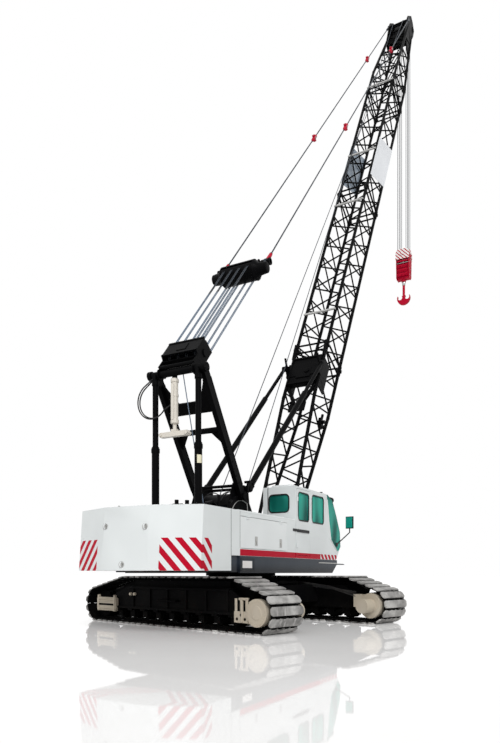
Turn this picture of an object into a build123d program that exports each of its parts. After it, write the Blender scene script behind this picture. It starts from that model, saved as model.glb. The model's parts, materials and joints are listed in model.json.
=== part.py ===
"""Lattice boom crawler crane, full size, in millimetres.

Frame: +X is the heading of the upper works and the boom, +Y the operator's left, +Z up.
The origin is on the ground under the slewing axis.
The crawler base stands turned under the upper works by UNDER_TURN.
Boom sections are placed by (s, n, y): s along the boom from its foot pin, n square to it on the
pendant side, y to the left.
"""
from build123d import *
from math import ceil, cos, hypot, pi, radians, sin, tan, atan2, degrees
import os

os.makedirs("parts", exist_ok=True)

# ---------------------------------------------------------------- driving sizes
GAP = 0.3                 # running gap between curved faces
PIN_PLAY = 0.3            # radial clearance of a pin in its bore
SWING_GAP = 8.0           # gap round doors and other swinging panels
KNUCKLE = 15.0            # hinge axes stand out this far from the face

# crawler base
UNDER_TURN = -15.4        # heading of the base against the upper works, degrees
GAUGE = 3770.0            # track centre to track centre
SHOE_WIDTH = 914.0
TRACK_LENGTH = 6490.0     # over the shoes
TRACK_TOP = 1115.0        # height of the raised top run
END_RADIUS = 425.0        # outside radius of the belt round the end wheels
TOP_FRONT = 1640.0        # where the raised run starts, idler end
TOP_REAR = 2070.0         # where it ends, drive end
BELT_THICK = 105.0        # shoes and chain together
SHOE_PLATE = 34.0         # depth of the notch between two shoes
SHOE_PITCH = 236.0
SHOE_NOTCH = 26.0         # length of the notch between two shoes
SIDE_FRAME_WIDTH = 600.0
SIDE_FRAME_BOTTOM = 345.0
SIDE_FRAME_TOP = 880.0
ROLLER_RADIUS = 118.0
ROLLER_COUNT = 9
ROLLER_PITCH = 500.0
ROLLER_WIDTH = 330.0
TOP_ROLLER_RADIUS = 60.0
TOP_ROLLER_PITCH = 1150.0
TOP_ROLLER_COUNT = 3
WHEEL_WIDTH = 300.0       # idler and sprocket
AXLE_RADIUS = 60.0
SPROCKET_TEETH = 14
DRIVE_COVER_RADIUS = 270.0
DRIVE_COVER_DEPTH = 300.0
MOTOR_RADIUS = 165.0
MOTOR_LENGTH = 330.0
CARBODY_BEAM_Y = 950.0    # axle beams, either side of the slewing axis
CARBODY_BEAM_WIDTH = 420.0
CARBODY_BOTTOM = 470.0
CARBODY_TOP = 900.0
PEDESTAL_RADIUS = 900.0

# slewing ring and deck
RING_BOTTOM = 1050.0
RING_OUTER = 850.0
RING_INNER = 640.0
RING_SPLIT = 1120.0       # height where the lower race ends
RING_GAP = 0.5
DECK_BOTTOM = 1200.0
DECK_TOP = 1530.0
DECK_REAR = -2870.0
DECK_FRONT = 2630.0
SIDE_Y = 1480.0           # outer face of house, skirts and cab
SKIRT_THICK = 40.0
STEP_LENGTH = 640.0
SKIRT_BOTTOM = 1183.0
SKIRT_SLOPE = 330.0       # the front lower corner is cut off by this much

# counterweight
CW_FRONT = -2870.0
CW_SHOULDER = -3820.0     # where the side facet ends
CW_REAR = -4180.0
CW_FACE = 560.0           # half width of the middle facet
CW_TOP = 2440.0
CW_BOTTOM = 1230.0
CW_LEAN = 100.0           # the foot of the rear facets stands out by this much
CW_EYE_RADIUS = 46.0      # lifting eyes on the rear facet
CW_EYE_BAR = 11.0
CW_EYES = ((510.0, 2070.0), (-450.0, 2040.0), (60.0, 1340.0))      # y, z
CW_LUGS = ((-3700.0, 620.0), (-3420.0, -240.0))                    # x, y on top

# house
HOUSE_TOP = 2440.0
HOUSE_INNER_Y = 790.0
HOUSE_WALL = 30.0
HOUSE_RIGHT_FRONT = 20.0
HOUSE_LEFT_FRONT = 1900.0
HOUSE_DOOR_REAR = -2530.0
HOUSE_DOOR_LENGTH = 2100.0
HOUSE_DOOR_BOTTOM = 1680.0
HOUSE_DOOR_TOP = 2330.0
SLAT = 12.0               # grille slats stand out by this much
SLAT_PITCH = 55.0
GRILLES = (               # sign of y, x0, x1, z0, z1
    (1, -300.0, 700.0, 1720.0, 2300.0), (1, 850.0, 1780.0, 1720.0, 2300.0))

# cab
CAB_REAR = 40.0
CAB_INNER_Y = 605.0
CAB_TOP = 3240.0
CAB_ROOF_FRONT = 1900.0
CAB_NOSE = 2830.0         # furthest point of the windscreen
CAB_NOSE_Z = 1860.0
CAB_SILL_FRONT = 2560.0
CAB_CROWN = 55.0          # raised middle of the roof
CAB_CROWN_INSET = 130.0
CAB_WALL = 45.0
GLASS = 10.0
DOOR_REAR = 85.0
DOOR_FRONT = 860.0
DOOR_BOTTOM = 1600.0
DOOR_TOP = 3190.0

# winches: plate frames with three drums
WINCH_PLATE_Y = 480.0     # inner face of each plate
WINCH_PLATE = 25.0
WINCH_REAR = -2500.0
WINCH_FRONT = 800.0
WINCH_SHOULDER = 2180.0   # top of the plates away from the tower
TOWER_REAR = -1180.0
TOWER_FRONT = -520.0
TOWER_TOP = 3220.0
COVER_RADIUS = 625.0      # inside of the cover over the main drum
COVER_SHEET = 20.0
DRUM_SHAFT = 55.0
DRUM_LENGTH = 2 * WINCH_PLATE_Y - 12.0

# gantry
STAY_X = -2635.0
STAY_Y = 550.0
STAY_LOWER_RADIUS = 80.0
STAY_UPPER_RADIUS = 62.0
STAY_SPLIT = 3800.0
HEAD_X = -2600.0
HEAD_Z = 5400.0
HEAD_TUBE_RADIUS = 75.0
LEG_Y = 600.0
LEG_DEPTH = 190.0
LEG_WIDTH = 100.0
LEG_PIN_RADIUS = 45.0
LEG_FOOT_X = -960.0
LEG_FOOT_Z = 2930.0
PORTAL_START = 0.69       # portal plate between the legs, as shares of their length
PORTAL_SILL = 0.78
PORTAL_END = 0.93
PORTAL_HALF = 30.0        # half its thickness
PORTAL_WINDOW_Y = 290.0   # half width of its window
LEG_TUBE = 0.55           # cross tube, as a share of the legs' length
BAIL_PIN = 560.0          # sheave axis of the bail, out from the head tube
BAIL_TIP = 800.0
BAIL_Y = 430.0            # inner face of its side plates
BAIL_PLATE = 24.0
BAIL_HALF_DEPTH = 150.0
BAIL_COVER = (            # reach and height of the plate behind its sheaves
    (330.0, 220.0), (800.0, 220.0), (800.0, 232.0), (330.0, 232.0))
LIFT_X = -2560.0          # cylinder that lifts the counterweight
LIFT_Y = 100.0
LIFT_TOP = 5280.0
LIFT_BARREL_RADIUS = 72.0
LIFT_BARREL_BOTTOM = 4330.0
LIFT_ROD_RADIUS = 40.0
YOKE_Z = 4110.0
YOKE_HALF_WIDTH = 350.0
SHEAVE_PIN_RADIUS = 50.0
BAIL_SHEAVE_WIDTH = 92.0  # two grooves each
BAIL_GROOVES = 2

# boom
BOOM_ANGLE = 61.87
FOOT_X = 1480.0
FOOT_Z = 1700.0
BOOM_DEPTH = 1110.0       # between chord centres
BOOM_WIDTH = 1000.0
CHORD_RADIUS = 51.0
COLLAR = 35.0             # half length of a collar where the chords bend
LACING_RADIUS = 24.0
BAR_RADIUS = 28.0         # cross bars by the section joints
COUPLER_RADIUS = 66.0
COUPLER_LENGTH = 170.0
LUG_THICK = 100.0
SIGN_REAR = (15150.0, 17360.0)    # blank panels' ends along the rear and the front chords
SIGN_FRONT = (16150.0, 18400.0)
SIGN_THICK = 8.0
BUTT_END = 6900.0
BUTT_BOX = (              # s, n of the closed box between the rear chords
    (5380.0, 500.0), (6450.0, 500.0), (6450.0, 640.0), (5380.0, 640.0))
BUTT_BOX_Y = 490.0
INSERT_A_END = 14500.0
INSERT_B_END = 21000.0
TIP_END = 26200.0
BUTT_TAPER_END = 5000.0
TIP_TAPER_START = 22400.0
THROAT = 24000.0          # from here on the tip's front face is open
HEAD_PLATE = 25.0
TIP_HALF_WIDTH = 380.0
TIP_HALF_DEPTH = 230.0
FOOT_HALF_DEPTH = 60.0
FOOT_PIN_RADIUS = 50.0
FOOT_LUG_RADIUS = 115.0
LACING_STEP = 540.0       # advance of one lacing bar
HEAD_PIN_S = 26650.0
HEAD_PIN_N = -200.0
HEAD_PIN_RADIUS = 60.0
JIB_PIN = (26790.0, 90.0)
JIB_PIN_RADIUS = 32.0
LINE_SHEAVE_WIDTH = 64.0
SHEAVE_GROOVE = 180.0     # radius to the bottom of the groove
SHEAVE_RIM = 214.0
ROPE_RADIUS = 11.0
LINE_Y = 220.0            # load lines, either side of the boom's middle
PENDANT_S = 26150.0
PENDANT_N = 430.0
PENDANT_Y = 450.0
PENDANT_PIN_RADIUS = 30.0
PENDANT_RADIUS = 18.0
SOCKET_RADIUS = 38.0
BRIDLE_X = -20.0          # axis of the bridle's sheaves
BRIDLE_Z = 8520.0
BRIDLE_HALF_WIDTH = 740.0
BRIDLE_BAR = 300.0        # its cross bar, ahead of the sheaves
BRIDLE_BAR_RADIUS = 55.0
BRIDLE_PENDANT_Y = 620.0
BRIDLE_Y = 430.0
GUARD_RADIUS = 250.0      # curved guard over the bridle's sheaves
GUARD_THICK = 12.0
ROPE_SHEAVE_YS = (-330.0, -110.0, 110.0, 330.0)

# backstops
STOP_FOOT_X = -670.0
STOP_FOOT_Z = 3130.0
STOP_Y = 610.0
STOP_S = 5950.0           # pin on the boom
STOP_N = 760.0
STOP_TUBE_RADIUS = 72.0
STOP_ROD_RADIUS = 50.0
STOP_TUBE_LENGTH = 4300.0
STOP_BORE_START = 1500.0
STOP_ROD_BACK = 3300.0    # the rod reaches back from its eye by this much
STOP_EYE_RADIUS = 78.0
STOP_EYE_HALF_WIDTH = 50.0
STOP_EAR_Y = 548.0        # outer face of the ears on the boom
STOP_PIN_PROUD = 7.0
STOP_PIN_RADIUS = 35.0

# hook block
BLOCK_Z = 15150.0         # axis of its sheaves
BLOCK_TOP = 15480.0
BLOCK_BOTTOM = 14180.0
CHEEK = 22.0
CHEEK_Y = 262.0
HOOK_BOTTOM = 13080.0
HOOK_SHANK_RADIUS = 55.0
HOOK_OUTER = 290.0
HOOK_THICK = 110.0
HOOK_THROAT_Y = 160.0
HOOK_THROAT_RADIUS = 100.0

# ---------------------------------------------------------------- helpers
TURN = radians(UNDER_TURN)
UNDER_X = Vector(cos(TURN), sin(TURN), 0)
UNDER_Y = Vector(-sin(TURN), cos(TURN), 0)
UP = Vector(0, 0, 1)
BOOM = radians(BOOM_ANGLE)
BOOM_DIR = Vector(cos(BOOM), 0, sin(BOOM))
BOOM_NORMAL = Vector(-sin(BOOM), 0, cos(BOOM))
LEFT = Vector(0, 1, 0)
FOOT = Vector(FOOT_X, 0, FOOT_Z)


def boom_point(s, n, y):
    """A point given along the boom, square to it and to the left."""
    return FOOT + BOOM_DIR * s + BOOM_NORMAL * n + LEFT * y


def base_plane(height):
    """Level plane in the crawler base's own axes."""
    return Plane(origin=(0, 0, height), x_dir=UNDER_X, z_dir=UP)


def base_side(x):
    """Upright plane along the tracks, x to the side: local x is forward, local y is up."""
    return Plane(origin=UNDER_X * x, x_dir=UNDER_Y, z_dir=UNDER_X)


def side_plane(y):
    """Upright plane of the upper works at y, its normal to the left: local (-x, z)."""
    return Plane(origin=(0, y, 0), x_dir=(-1, 0, 0), z_dir=(0, 1, 0))


def boom_plane(y):
    """Side plane of the boom, its normal to the left; points on it are given with flat()."""
    return boom_plane_at(0, 0, y)


def boom_plane_at(s, n, y):
    """Side plane of the boom with its origin at a point of it."""
    return Plane(origin=boom_point(s, n, y), x_dir=BOOM_DIR, z_dir=LEFT)


def flat(s, n):
    """A point (s, n) in a boom side plane's own axes."""
    return s, -n


def slab(x0, x1, y0, y1, z0, z1, mode=Mode.ADD):
    """A box between limits, in the builder that is open."""
    with Locations(((x0 + x1) / 2, (y0 + y1) / 2, (z0 + z1) / 2)):
        Box(x1 - x0, y1 - y0, z1 - z0, mode=mode)


def rod(a, b, radius):
    """A round bar from a to b."""
    axis = b - a
    return Solid.make_cylinder(radius, axis.length, Plane(origin=a, z_dir=axis))


def rail(x0, x1, y, z, radius):
    return rod(Vector(x0, y, z), Vector(x1, y, z), radius)


def drop(x, y, z0, z1, radius):
    """An upright round bar."""
    return rod(Vector(x, y, z0), Vector(x, y, z1), radius)


def cross_bar(x, z, y0, y1, radius):
    """A round bar across the crane."""
    return rod(Vector(x, y0, z), Vector(x, y1, z), radius)


def save(builder, label):
    builder.part.label = label
    export_step(builder.part, f"parts/{label}.step")


# ---------------------------------------------------------------- crawler belts
HALF_TRACK = TRACK_LENGTH / 2
WHEEL_Y = HALF_TRACK - END_RADIUS
WHEEL_Z = END_RADIUS
INNER_RADIUS = END_RADIUS - BELT_THICK


def tangent_corner(y_top, side, radius, top):
    """Where the sloping run from the top corner meets the belt round an end wheel."""
    dy = side * y_top - side * WHEEL_Y
    dz = top - WHEEL_Z
    away = hypot(dy, dz)
    turn = atan2(dz, dy)
    spread = -side * (pi / 2 - atan2(radius, (away ** 2 - radius ** 2) ** 0.5))
    angle = turn + spread
    return side * WHEEL_Y + radius * cos(angle), WHEEL_Z + radius * sin(angle)


def belt_outline(inset):
    """The closed belt outline, drawn inside its outer face by inset."""
    radius = END_RADIUS - inset
    top = TRACK_TOP - inset
    front = tangent_corner(TOP_FRONT, 1, radius, top)
    rear = tangent_corner(TOP_REAR, -1, radius, top)
    with BuildLine() as line:
        Line((-WHEEL_Y, inset), (WHEEL_Y, inset))
        ThreePointArc((WHEEL_Y, inset), (WHEEL_Y + radius, WHEEL_Z), front)
        Line(front, (TOP_FRONT, top))
        Line((TOP_FRONT, top), (-TOP_REAR, top))
        Line((-TOP_REAR, top), rear)
        ThreePointArc(rear, (-WHEEL_Y - radius, WHEEL_Z), (-WHEEL_Y, inset))
    return line


def belt(side):
    """One track: a closed loop with a notch between every two shoes."""
    x = side * GAUGE / 2
    outer = belt_outline(0)
    route = outer.wires()[0]
    count = round(route.length / SHOE_PITCH)
    with BuildPart() as track:
        with BuildSketch(base_side(x - SHOE_WIDTH / 2)):
            add(make_face(outer.edges(), mode=Mode.PRIVATE))
            inner = belt_outline(BELT_THICK)
            add(make_face(inner.edges(), mode=Mode.PRIVATE), mode=Mode.SUBTRACT)
            for i in range(count):
                where = route.position_at((i + 0.5) / count)
                heading = route.tangent_at((i + 0.5) / count)
                with Locations(Location((where.X, where.Y), degrees(atan2(heading.Y, heading.X)))):
                    Rectangle(SHOE_NOTCH, 2 * SHOE_PLATE, mode=Mode.SUBTRACT)
        extrude(amount=SHOE_WIDTH)
    return track


for side, name in ((-1, "track_near"), (1, "track_far")):
    save(belt(side), name)

# ---------------------------------------------------------------- side frames
FRAME_REAR = -WHEEL_Y + INNER_RADIUS + 90
FRAME_FRONT = WHEEL_Y - INNER_RADIUS - 90
BEARING_Z = WHEEL_Z


with BuildPart() as side_frames:
    for side in (-1, 1):
        x = side * GAUGE / 2
        with BuildSketch(base_side(x - SIDE_FRAME_WIDTH / 2)):
            with BuildLine():
                Polyline(
                    (FRAME_REAR, SIDE_FRAME_BOTTOM), (FRAME_FRONT, SIDE_FRAME_BOTTOM),
                    (FRAME_FRONT, BEARING_Z + 150), (TOP_FRONT - 60, SIDE_FRAME_TOP),
                    (-TOP_REAR + 120, SIDE_FRAME_TOP), (FRAME_REAR, BEARING_Z + 190), close=True)
            make_face()
        extrude(amount=SIDE_FRAME_WIDTH)
        # forks that reach past both end wheels on either side of them
        for start in (-SIDE_FRAME_WIDTH / 2, WHEEL_WIDTH / 2 + 15):
            for end, root in ((WHEEL_Y, FRAME_FRONT - 10), (-WHEEL_Y, FRAME_REAR + 10)):
                tip = end + (70 if end > 0 else -70)
                with BuildSketch(base_side(x + start)):
                    with BuildLine():
                        Polyline(
                            (root, SIDE_FRAME_BOTTOM), (end, SIDE_FRAME_BOTTOM),
                            (tip, BEARING_Z), (end, BEARING_Z + 90), (root, BEARING_Z + 90),
                            close=True)
                    make_face()
                extrude(amount=SIDE_FRAME_WIDTH / 2 - WHEEL_WIDTH / 2 - 15)
        # axle bores
        with BuildSketch(base_side(x - SIDE_FRAME_WIDTH)):
            with Locations((WHEEL_Y, BEARING_Z), (-WHEEL_Y, BEARING_Z)):
                Circle(AXLE_RADIUS + PIN_PLAY)
        extrude(amount=2 * SIDE_FRAME_WIDTH, mode=Mode.SUBTRACT)
save(side_frames, "side_frames")

with BuildPart() as end_wheels:
    for side in (-1, 1):
        x = side * GAUGE / 2
        for y, teeth in ((WHEEL_Y, 0), (-WHEEL_Y, SPROCKET_TEETH)):
            with BuildSketch(base_side(x - WHEEL_WIDTH / 2)):
                with Locations((y, BEARING_Z)):
                    Circle(INNER_RADIUS - GAP)
                    if teeth:
                        with PolarLocations(INNER_RADIUS - GAP, teeth):
                            Circle(26, mode=Mode.SUBTRACT)
            extrude(amount=WHEEL_WIDTH)
            with BuildSketch(base_side(x - SIDE_FRAME_WIDTH / 2)):
                with Locations((y, BEARING_Z)):
                    Circle(AXLE_RADIUS)
            extrude(amount=SIDE_FRAME_WIDTH)
save(end_wheels, "idlers_and_sprockets")

# ---------------------------------------------------------------- rollers
ROLLER_Z = BELT_THICK + ROLLER_RADIUS + GAP
TOP_ROLLER_Z = TRACK_TOP - BELT_THICK - TOP_ROLLER_RADIUS - GAP
with BuildPart() as rollers:
    for side in (-1, 1):
        x = side * GAUGE / 2
        ys = [(i - (ROLLER_COUNT - 1) / 2) * ROLLER_PITCH for i in range(ROLLER_COUNT)]
        with BuildSketch(base_side(x - ROLLER_WIDTH / 2)):
            with Locations(*[(y, ROLLER_Z) for y in ys]):
                Circle(ROLLER_RADIUS)
        extrude(amount=ROLLER_WIDTH)
        # bearing blocks under the frame, at both ends of each roller
        for start in (-ROLLER_WIDTH / 2 - 70, ROLLER_WIDTH / 2):
            with BuildSketch(base_side(x + start)):
                with Locations(*[(y, (ROLLER_Z - 70 + SIDE_FRAME_BOTTOM) / 2) for y in ys]):
                    Rectangle(170, SIDE_FRAME_BOTTOM - ROLLER_Z + 70)
            extrude(amount=70)
        # carrier rollers on top of the frame
        ys = [-200 + (i - (TOP_ROLLER_COUNT - 1) / 2) * TOP_ROLLER_PITCH
              for i in range(TOP_ROLLER_COUNT)]
        with BuildSketch(base_side(x - ROLLER_WIDTH / 2)):
            with Locations(*[(y, TOP_ROLLER_Z) for y in ys]):
                Circle(TOP_ROLLER_RADIUS)
        extrude(amount=ROLLER_WIDTH)
        for start in (-ROLLER_WIDTH / 2 - 40, ROLLER_WIDTH / 2):
            with BuildSketch(base_side(x + start)):
                with Locations(*[(y, (TOP_ROLLER_Z + 30 + SIDE_FRAME_TOP) / 2) for y in ys]):
                    Rectangle(110, TOP_ROLLER_Z + 30 - SIDE_FRAME_TOP)
            extrude(amount=40)
save(rollers, "track_rollers")

# ---------------------------------------------------------------- drives
COVER_FACE = SHOE_WIDTH / 2 - 20
with BuildPart() as final_drives:
    for side in (-1, 1):
        outward = side * GAUGE / 2
        start = SIDE_FRAME_WIDTH / 2
        low = outward - COVER_FACE if side < 0 else outward + start
        with BuildSketch(base_side(low)):
            with Locations((-WHEEL_Y, BEARING_Z)):
                Circle(DRIVE_COVER_RADIUS)
        extrude(amount=COVER_FACE - start)
        with BuildSketch(base_side(low + (60 if side < 0 else 0))):
            with BuildLine():
                Polyline(
                    (-WHEEL_Y + 180, BEARING_Z - 230), (-WHEEL_Y + 640, BEARING_Z - 190),
                    (-WHEEL_Y + 560, BEARING_Z), (-WHEEL_Y + 640, BEARING_Z + 250),
                    (-WHEEL_Y + 180, BEARING_Z + 200), close=True)
            make_face()
        extrude(amount=COVER_FACE - start - 60)
save(final_drives, "final_drives")

with BuildPart() as travel_motors:
    for side in (-1, 1):
        inner = side * (GAUGE / 2 - SIDE_FRAME_WIDTH / 2)
        hub = inner - 160 if side > 0 else inner
        with BuildSketch(base_side(hub)):
            with Locations((-WHEEL_Y, BEARING_Z)):
                Circle(DRIVE_COVER_RADIUS + 20)
            with Locations((-WHEEL_Y + 340, BEARING_Z + 110)):
                Rectangle(240, 300)
        extrude(amount=160)
        case = inner - 160 - MOTOR_LENGTH if side > 0 else inner + 160
        with BuildSketch(base_side(case)):
            with Locations((-WHEEL_Y, BEARING_Z)):
                Circle(MOTOR_RADIUS)
        extrude(amount=MOTOR_LENGTH)
save(travel_motors, "travel_motors")

TAKE_UP_REAR = FRAME_FRONT - 420
with BuildPart() as take_ups:
    for side in (-1, 1):
        x = side * (GAUGE / 2 + SIDE_FRAME_WIDTH / 2)
        start = x - 90 if side < 0 else x
        with BuildSketch(base_side(start)):
            with Locations(((TAKE_UP_REAR + WHEEL_Y) / 2, BEARING_Z)):
                RectangleRounded(WHEEL_Y - TAKE_UP_REAR, 330, 50)
        extrude(amount=90)
save(take_ups, "take_up_blocks")

# ---------------------------------------------------------------- carbody and ring
FRAME_INNER_X = GAUGE / 2 - SIDE_FRAME_WIDTH / 2
with BuildPart() as carbody:
    with BuildSketch(base_plane(CARBODY_BOTTOM)):
        with Locations((0, CARBODY_BEAM_Y), (0, -CARBODY_BEAM_Y)):
            Rectangle(2 * FRAME_INNER_X, CARBODY_BEAM_WIDTH)
        Rectangle(1500, 2 * CARBODY_BEAM_Y)
    extrude(amount=CARBODY_TOP - CARBODY_BOTTOM)
    with BuildSketch(base_plane(CARBODY_TOP)):
        Circle(PEDESTAL_RADIUS)
    extrude(amount=RING_BOTTOM - CARBODY_TOP)
    with BuildSketch(base_plane(CARBODY_BOTTOM)):
        Circle(260)
    extrude(amount=RING_BOTTOM - CARBODY_BOTTOM, mode=Mode.SUBTRACT)
save(carbody, "carbody")

with BuildPart() as ring_lower:
    with BuildSketch(Plane.XY.offset(RING_BOTTOM)):
        Circle(RING_OUTER - 60)
        Circle(RING_INNER, mode=Mode.SUBTRACT)
    extrude(amount=RING_SPLIT - RING_BOTTOM)
save(ring_lower, "slew_ring_lower")

with BuildPart() as ring_upper:
    with BuildSketch(Plane.XY.offset(RING_SPLIT + RING_GAP)):
        Circle(RING_OUTER)
        Circle(RING_INNER, mode=Mode.SUBTRACT)
    extrude(amount=DECK_BOTTOM - RING_SPLIT - RING_GAP)
save(ring_upper, "slew_ring_upper")

# ---------------------------------------------------------------- deck
EAR_INNER = BOOM_WIDTH / 2 - 50 - 45
EAR_OUTER = BOOM_WIDTH / 2 + 50 + 3
with BuildPart() as deck:
    slab(DECK_REAR, DECK_FRONT - SKIRT_SLOPE, -SIDE_Y + SKIRT_THICK, SIDE_Y - SKIRT_THICK,
         DECK_BOTTOM, DECK_TOP)
    slab(DECK_FRONT - SKIRT_SLOPE, DECK_FRONT, -SIDE_Y + SKIRT_THICK, SIDE_Y - SKIRT_THICK,
         DECK_TOP - 120, DECK_TOP)
    with BuildSketch(Plane.XY.offset(DECK_BOTTOM)):
        Circle(300)
    extrude(amount=DECK_TOP - DECK_BOTTOM, mode=Mode.SUBTRACT)
    # ears for the boom foot
    for y in (-EAR_OUTER - 36, -EAR_INNER - 42, EAR_INNER, EAR_OUTER):
        with BuildSketch(side_plane(y)):
            with BuildLine():
                Polyline((-FOOT_X - 260, DECK_TOP - 20), (-FOOT_X + 260, DECK_TOP - 20),
                         (-FOOT_X + 100, FOOT_Z + 60), (-FOOT_X - 100, FOOT_Z + 60), close=True)
            make_face()
            with Locations((-FOOT_X, FOOT_Z)):
                Circle(105)
        extrude(amount=36 if abs(y) > BOOM_WIDTH / 2 else 42)
    # foot pins
    for y in (-EAR_OUTER - 36, EAR_INNER):
        add(cross_bar(FOOT_X, FOOT_Z, y, y + EAR_OUTER + 36 - EAR_INNER, FOOT_PIN_RADIUS))
    # side skirts, their front lower corners cut off
    for y in (-SIDE_Y, SIDE_Y - SKIRT_THICK):
        with BuildSketch(side_plane(y)):
            with BuildLine():
                Polyline((-DECK_REAR - 340, SKIRT_BOTTOM), (-DECK_REAR - 340, DECK_TOP),
                         (-DECK_FRONT, DECK_TOP), (-DECK_FRONT, DECK_TOP - 110),
                         (-DECK_FRONT + SKIRT_SLOPE, SKIRT_BOTTOM), close=True)
            make_face()
        extrude(amount=SKIRT_THICK)
    # front step
    slab(DECK_FRONT, DECK_FRONT + STEP_LENGTH, -SIDE_Y + 40, -CAB_INNER_Y, DECK_TOP - 120,
         DECK_TOP - 95)
save(deck, "deck")

# ---------------------------------------------------------------- counterweight
CW_PLAN = (  # x, y of the top outline, rear corners last to first
    (CW_FRONT, -SIDE_Y), (CW_SHOULDER, -SIDE_Y), (CW_REAR, -CW_FACE),
    (CW_REAR, CW_FACE), (CW_SHOULDER, SIDE_Y), (CW_FRONT, SIDE_Y))
with BuildPart() as counterweight:
    with BuildSketch(Plane.XY.offset(CW_BOTTOM)):
        with BuildLine():
            Polyline(*[(x - (CW_LEAN if x < CW_FRONT else 0), y) for x, y in CW_PLAN], close=True)
        make_face()
    with BuildSketch(Plane.XY.offset(CW_TOP)):
        with BuildLine():
            Polyline(*CW_PLAN, close=True)
        make_face()
    loft()
    # lifting eyes: rings half sunk in the rear facet, and two lugs on top
    for y, z in CW_EYES:
        face_x = CW_REAR - CW_LEAN * (CW_TOP - z) / (CW_TOP - CW_BOTTOM)
        with Locations(Location((face_x, y, z), (90, 0, 0))):
            Torus(CW_EYE_RADIUS, CW_EYE_BAR)
    for x, y in CW_LUGS:
        slab(x - 30, x + 30, y - 12, y + 12, CW_TOP, CW_TOP + 55)
save(counterweight, "counterweight")

# ---------------------------------------------------------------- house
HOUSES = (  # name, sign of y, front end
    ("house_door_right", -1, HOUSE_RIGHT_FRONT), ("house_door_left", 1, HOUSE_LEFT_FRONT))
with BuildPart() as house:
    for name, sign, front in HOUSES:
        near, far = sorted((sign * HOUSE_INNER_Y, sign * SIDE_Y))
        door_y = sorted((sign * (SIDE_Y - HOUSE_WALL), sign * SIDE_Y))
        slab(DECK_REAR, front, near, far, DECK_TOP, HOUSE_TOP)
        slab(DECK_REAR + HOUSE_WALL, front - HOUSE_WALL, near + HOUSE_WALL, far - HOUSE_WALL,
             DECK_TOP, HOUSE_TOP - HOUSE_WALL, mode=Mode.SUBTRACT)
        slab(HOUSE_DOOR_REAR, HOUSE_DOOR_REAR + HOUSE_DOOR_LENGTH, door_y[0], door_y[1],
             HOUSE_DOOR_BOTTOM, HOUSE_DOOR_TOP, mode=Mode.SUBTRACT)
    for sign, x0, x1, z0, z1 in GRILLES:
        y0, y1 = sorted((sign * SIDE_Y, sign * (SIDE_Y + SLAT)))
        for i in range(int((z1 - z0) / SLAT_PITCH)):
            slab(x0, x1, y0, y1, z0 + i * SLAT_PITCH, z0 + (i + 0.45) * SLAT_PITCH)
save(house, "house")

for name, sign, front in HOUSES:
    door_y = sorted((sign * (SIDE_Y - HOUSE_WALL), sign * SIDE_Y))
    with BuildPart() as door:
        slab(HOUSE_DOOR_REAR + SWING_GAP, HOUSE_DOOR_REAR + HOUSE_DOOR_LENGTH - SWING_GAP,
             door_y[0], door_y[1], HOUSE_DOOR_BOTTOM + SWING_GAP, HOUSE_DOOR_TOP - SWING_GAP)
        # hinge knuckles over the top edge, with their leaves
        knuckle_y = sign * (SIDE_Y + KNUCKLE)
        leaf_y = sorted((sign * SIDE_Y, sign * (SIDE_Y + KNUCKLE)))
        for x in (HOUSE_DOOR_REAR + 300, HOUSE_DOOR_REAR + HOUSE_DOOR_LENGTH - 300):
            add(rail(x - 60, x + 60, knuckle_y, HOUSE_DOOR_TOP, KNUCKLE - GAP))
            slab(x - 55, x + 55, leaf_y[0], leaf_y[1], HOUSE_DOOR_TOP - 50, HOUSE_DOOR_TOP)
    save(door, name)

with BuildPart() as engine:
    slab(-2350, -850, HOUSE_INNER_Y + 90, SIDE_Y - 90, DECK_TOP, HOUSE_TOP - 150)
save(engine, "engine")

# ---------------------------------------------------------------- cab
CAB_SIDE = (  # x, z of the cab's side, from the rear sill round
    (CAB_REAR, DECK_TOP), (CAB_SILL_FRONT, DECK_TOP), (CAB_NOSE, CAB_NOSE_Z),
    (CAB_ROOF_FRONT, CAB_TOP), (CAB_REAR, CAB_TOP))


SCREEN = Vector(CAB_ROOF_FRONT - CAB_NOSE, 0, CAB_TOP - CAB_NOSE_Z)
SCREEN_LENGTH = SCREEN.length
SCREEN_OUT = Vector(SCREEN.Z, 0, -SCREEN.X).normalized()
SCREEN_MIDDLE = Vector((CAB_NOSE + CAB_ROOF_FRONT) / 2, -(SIDE_Y + CAB_INNER_Y) / 2,
                       (CAB_NOSE_Z + CAB_TOP) / 2)
CAB_WIDTH = SIDE_Y - CAB_INNER_Y
SCREEN_FRAME = 70.0
REAR_WINDOW = (-1310.0, -760.0, 2620.0, 3060.0)      # y0, y1, z0, z1
SIDE_WINDOW = (960.0, 1700.0, 2430.0, 3130.0)        # x0, x1, z0, z1
INNER_WINDOW = (300.0, 1650.0, 2430.0, 3080.0)       # x0, x1, z0, z1


def screen_plane(depth):
    """Plane of the windscreen, depth under its outer face, its x across the cab."""
    return Plane(origin=SCREEN_MIDDLE - SCREEN_OUT * depth, x_dir=LEFT, z_dir=SCREEN_OUT)


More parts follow.
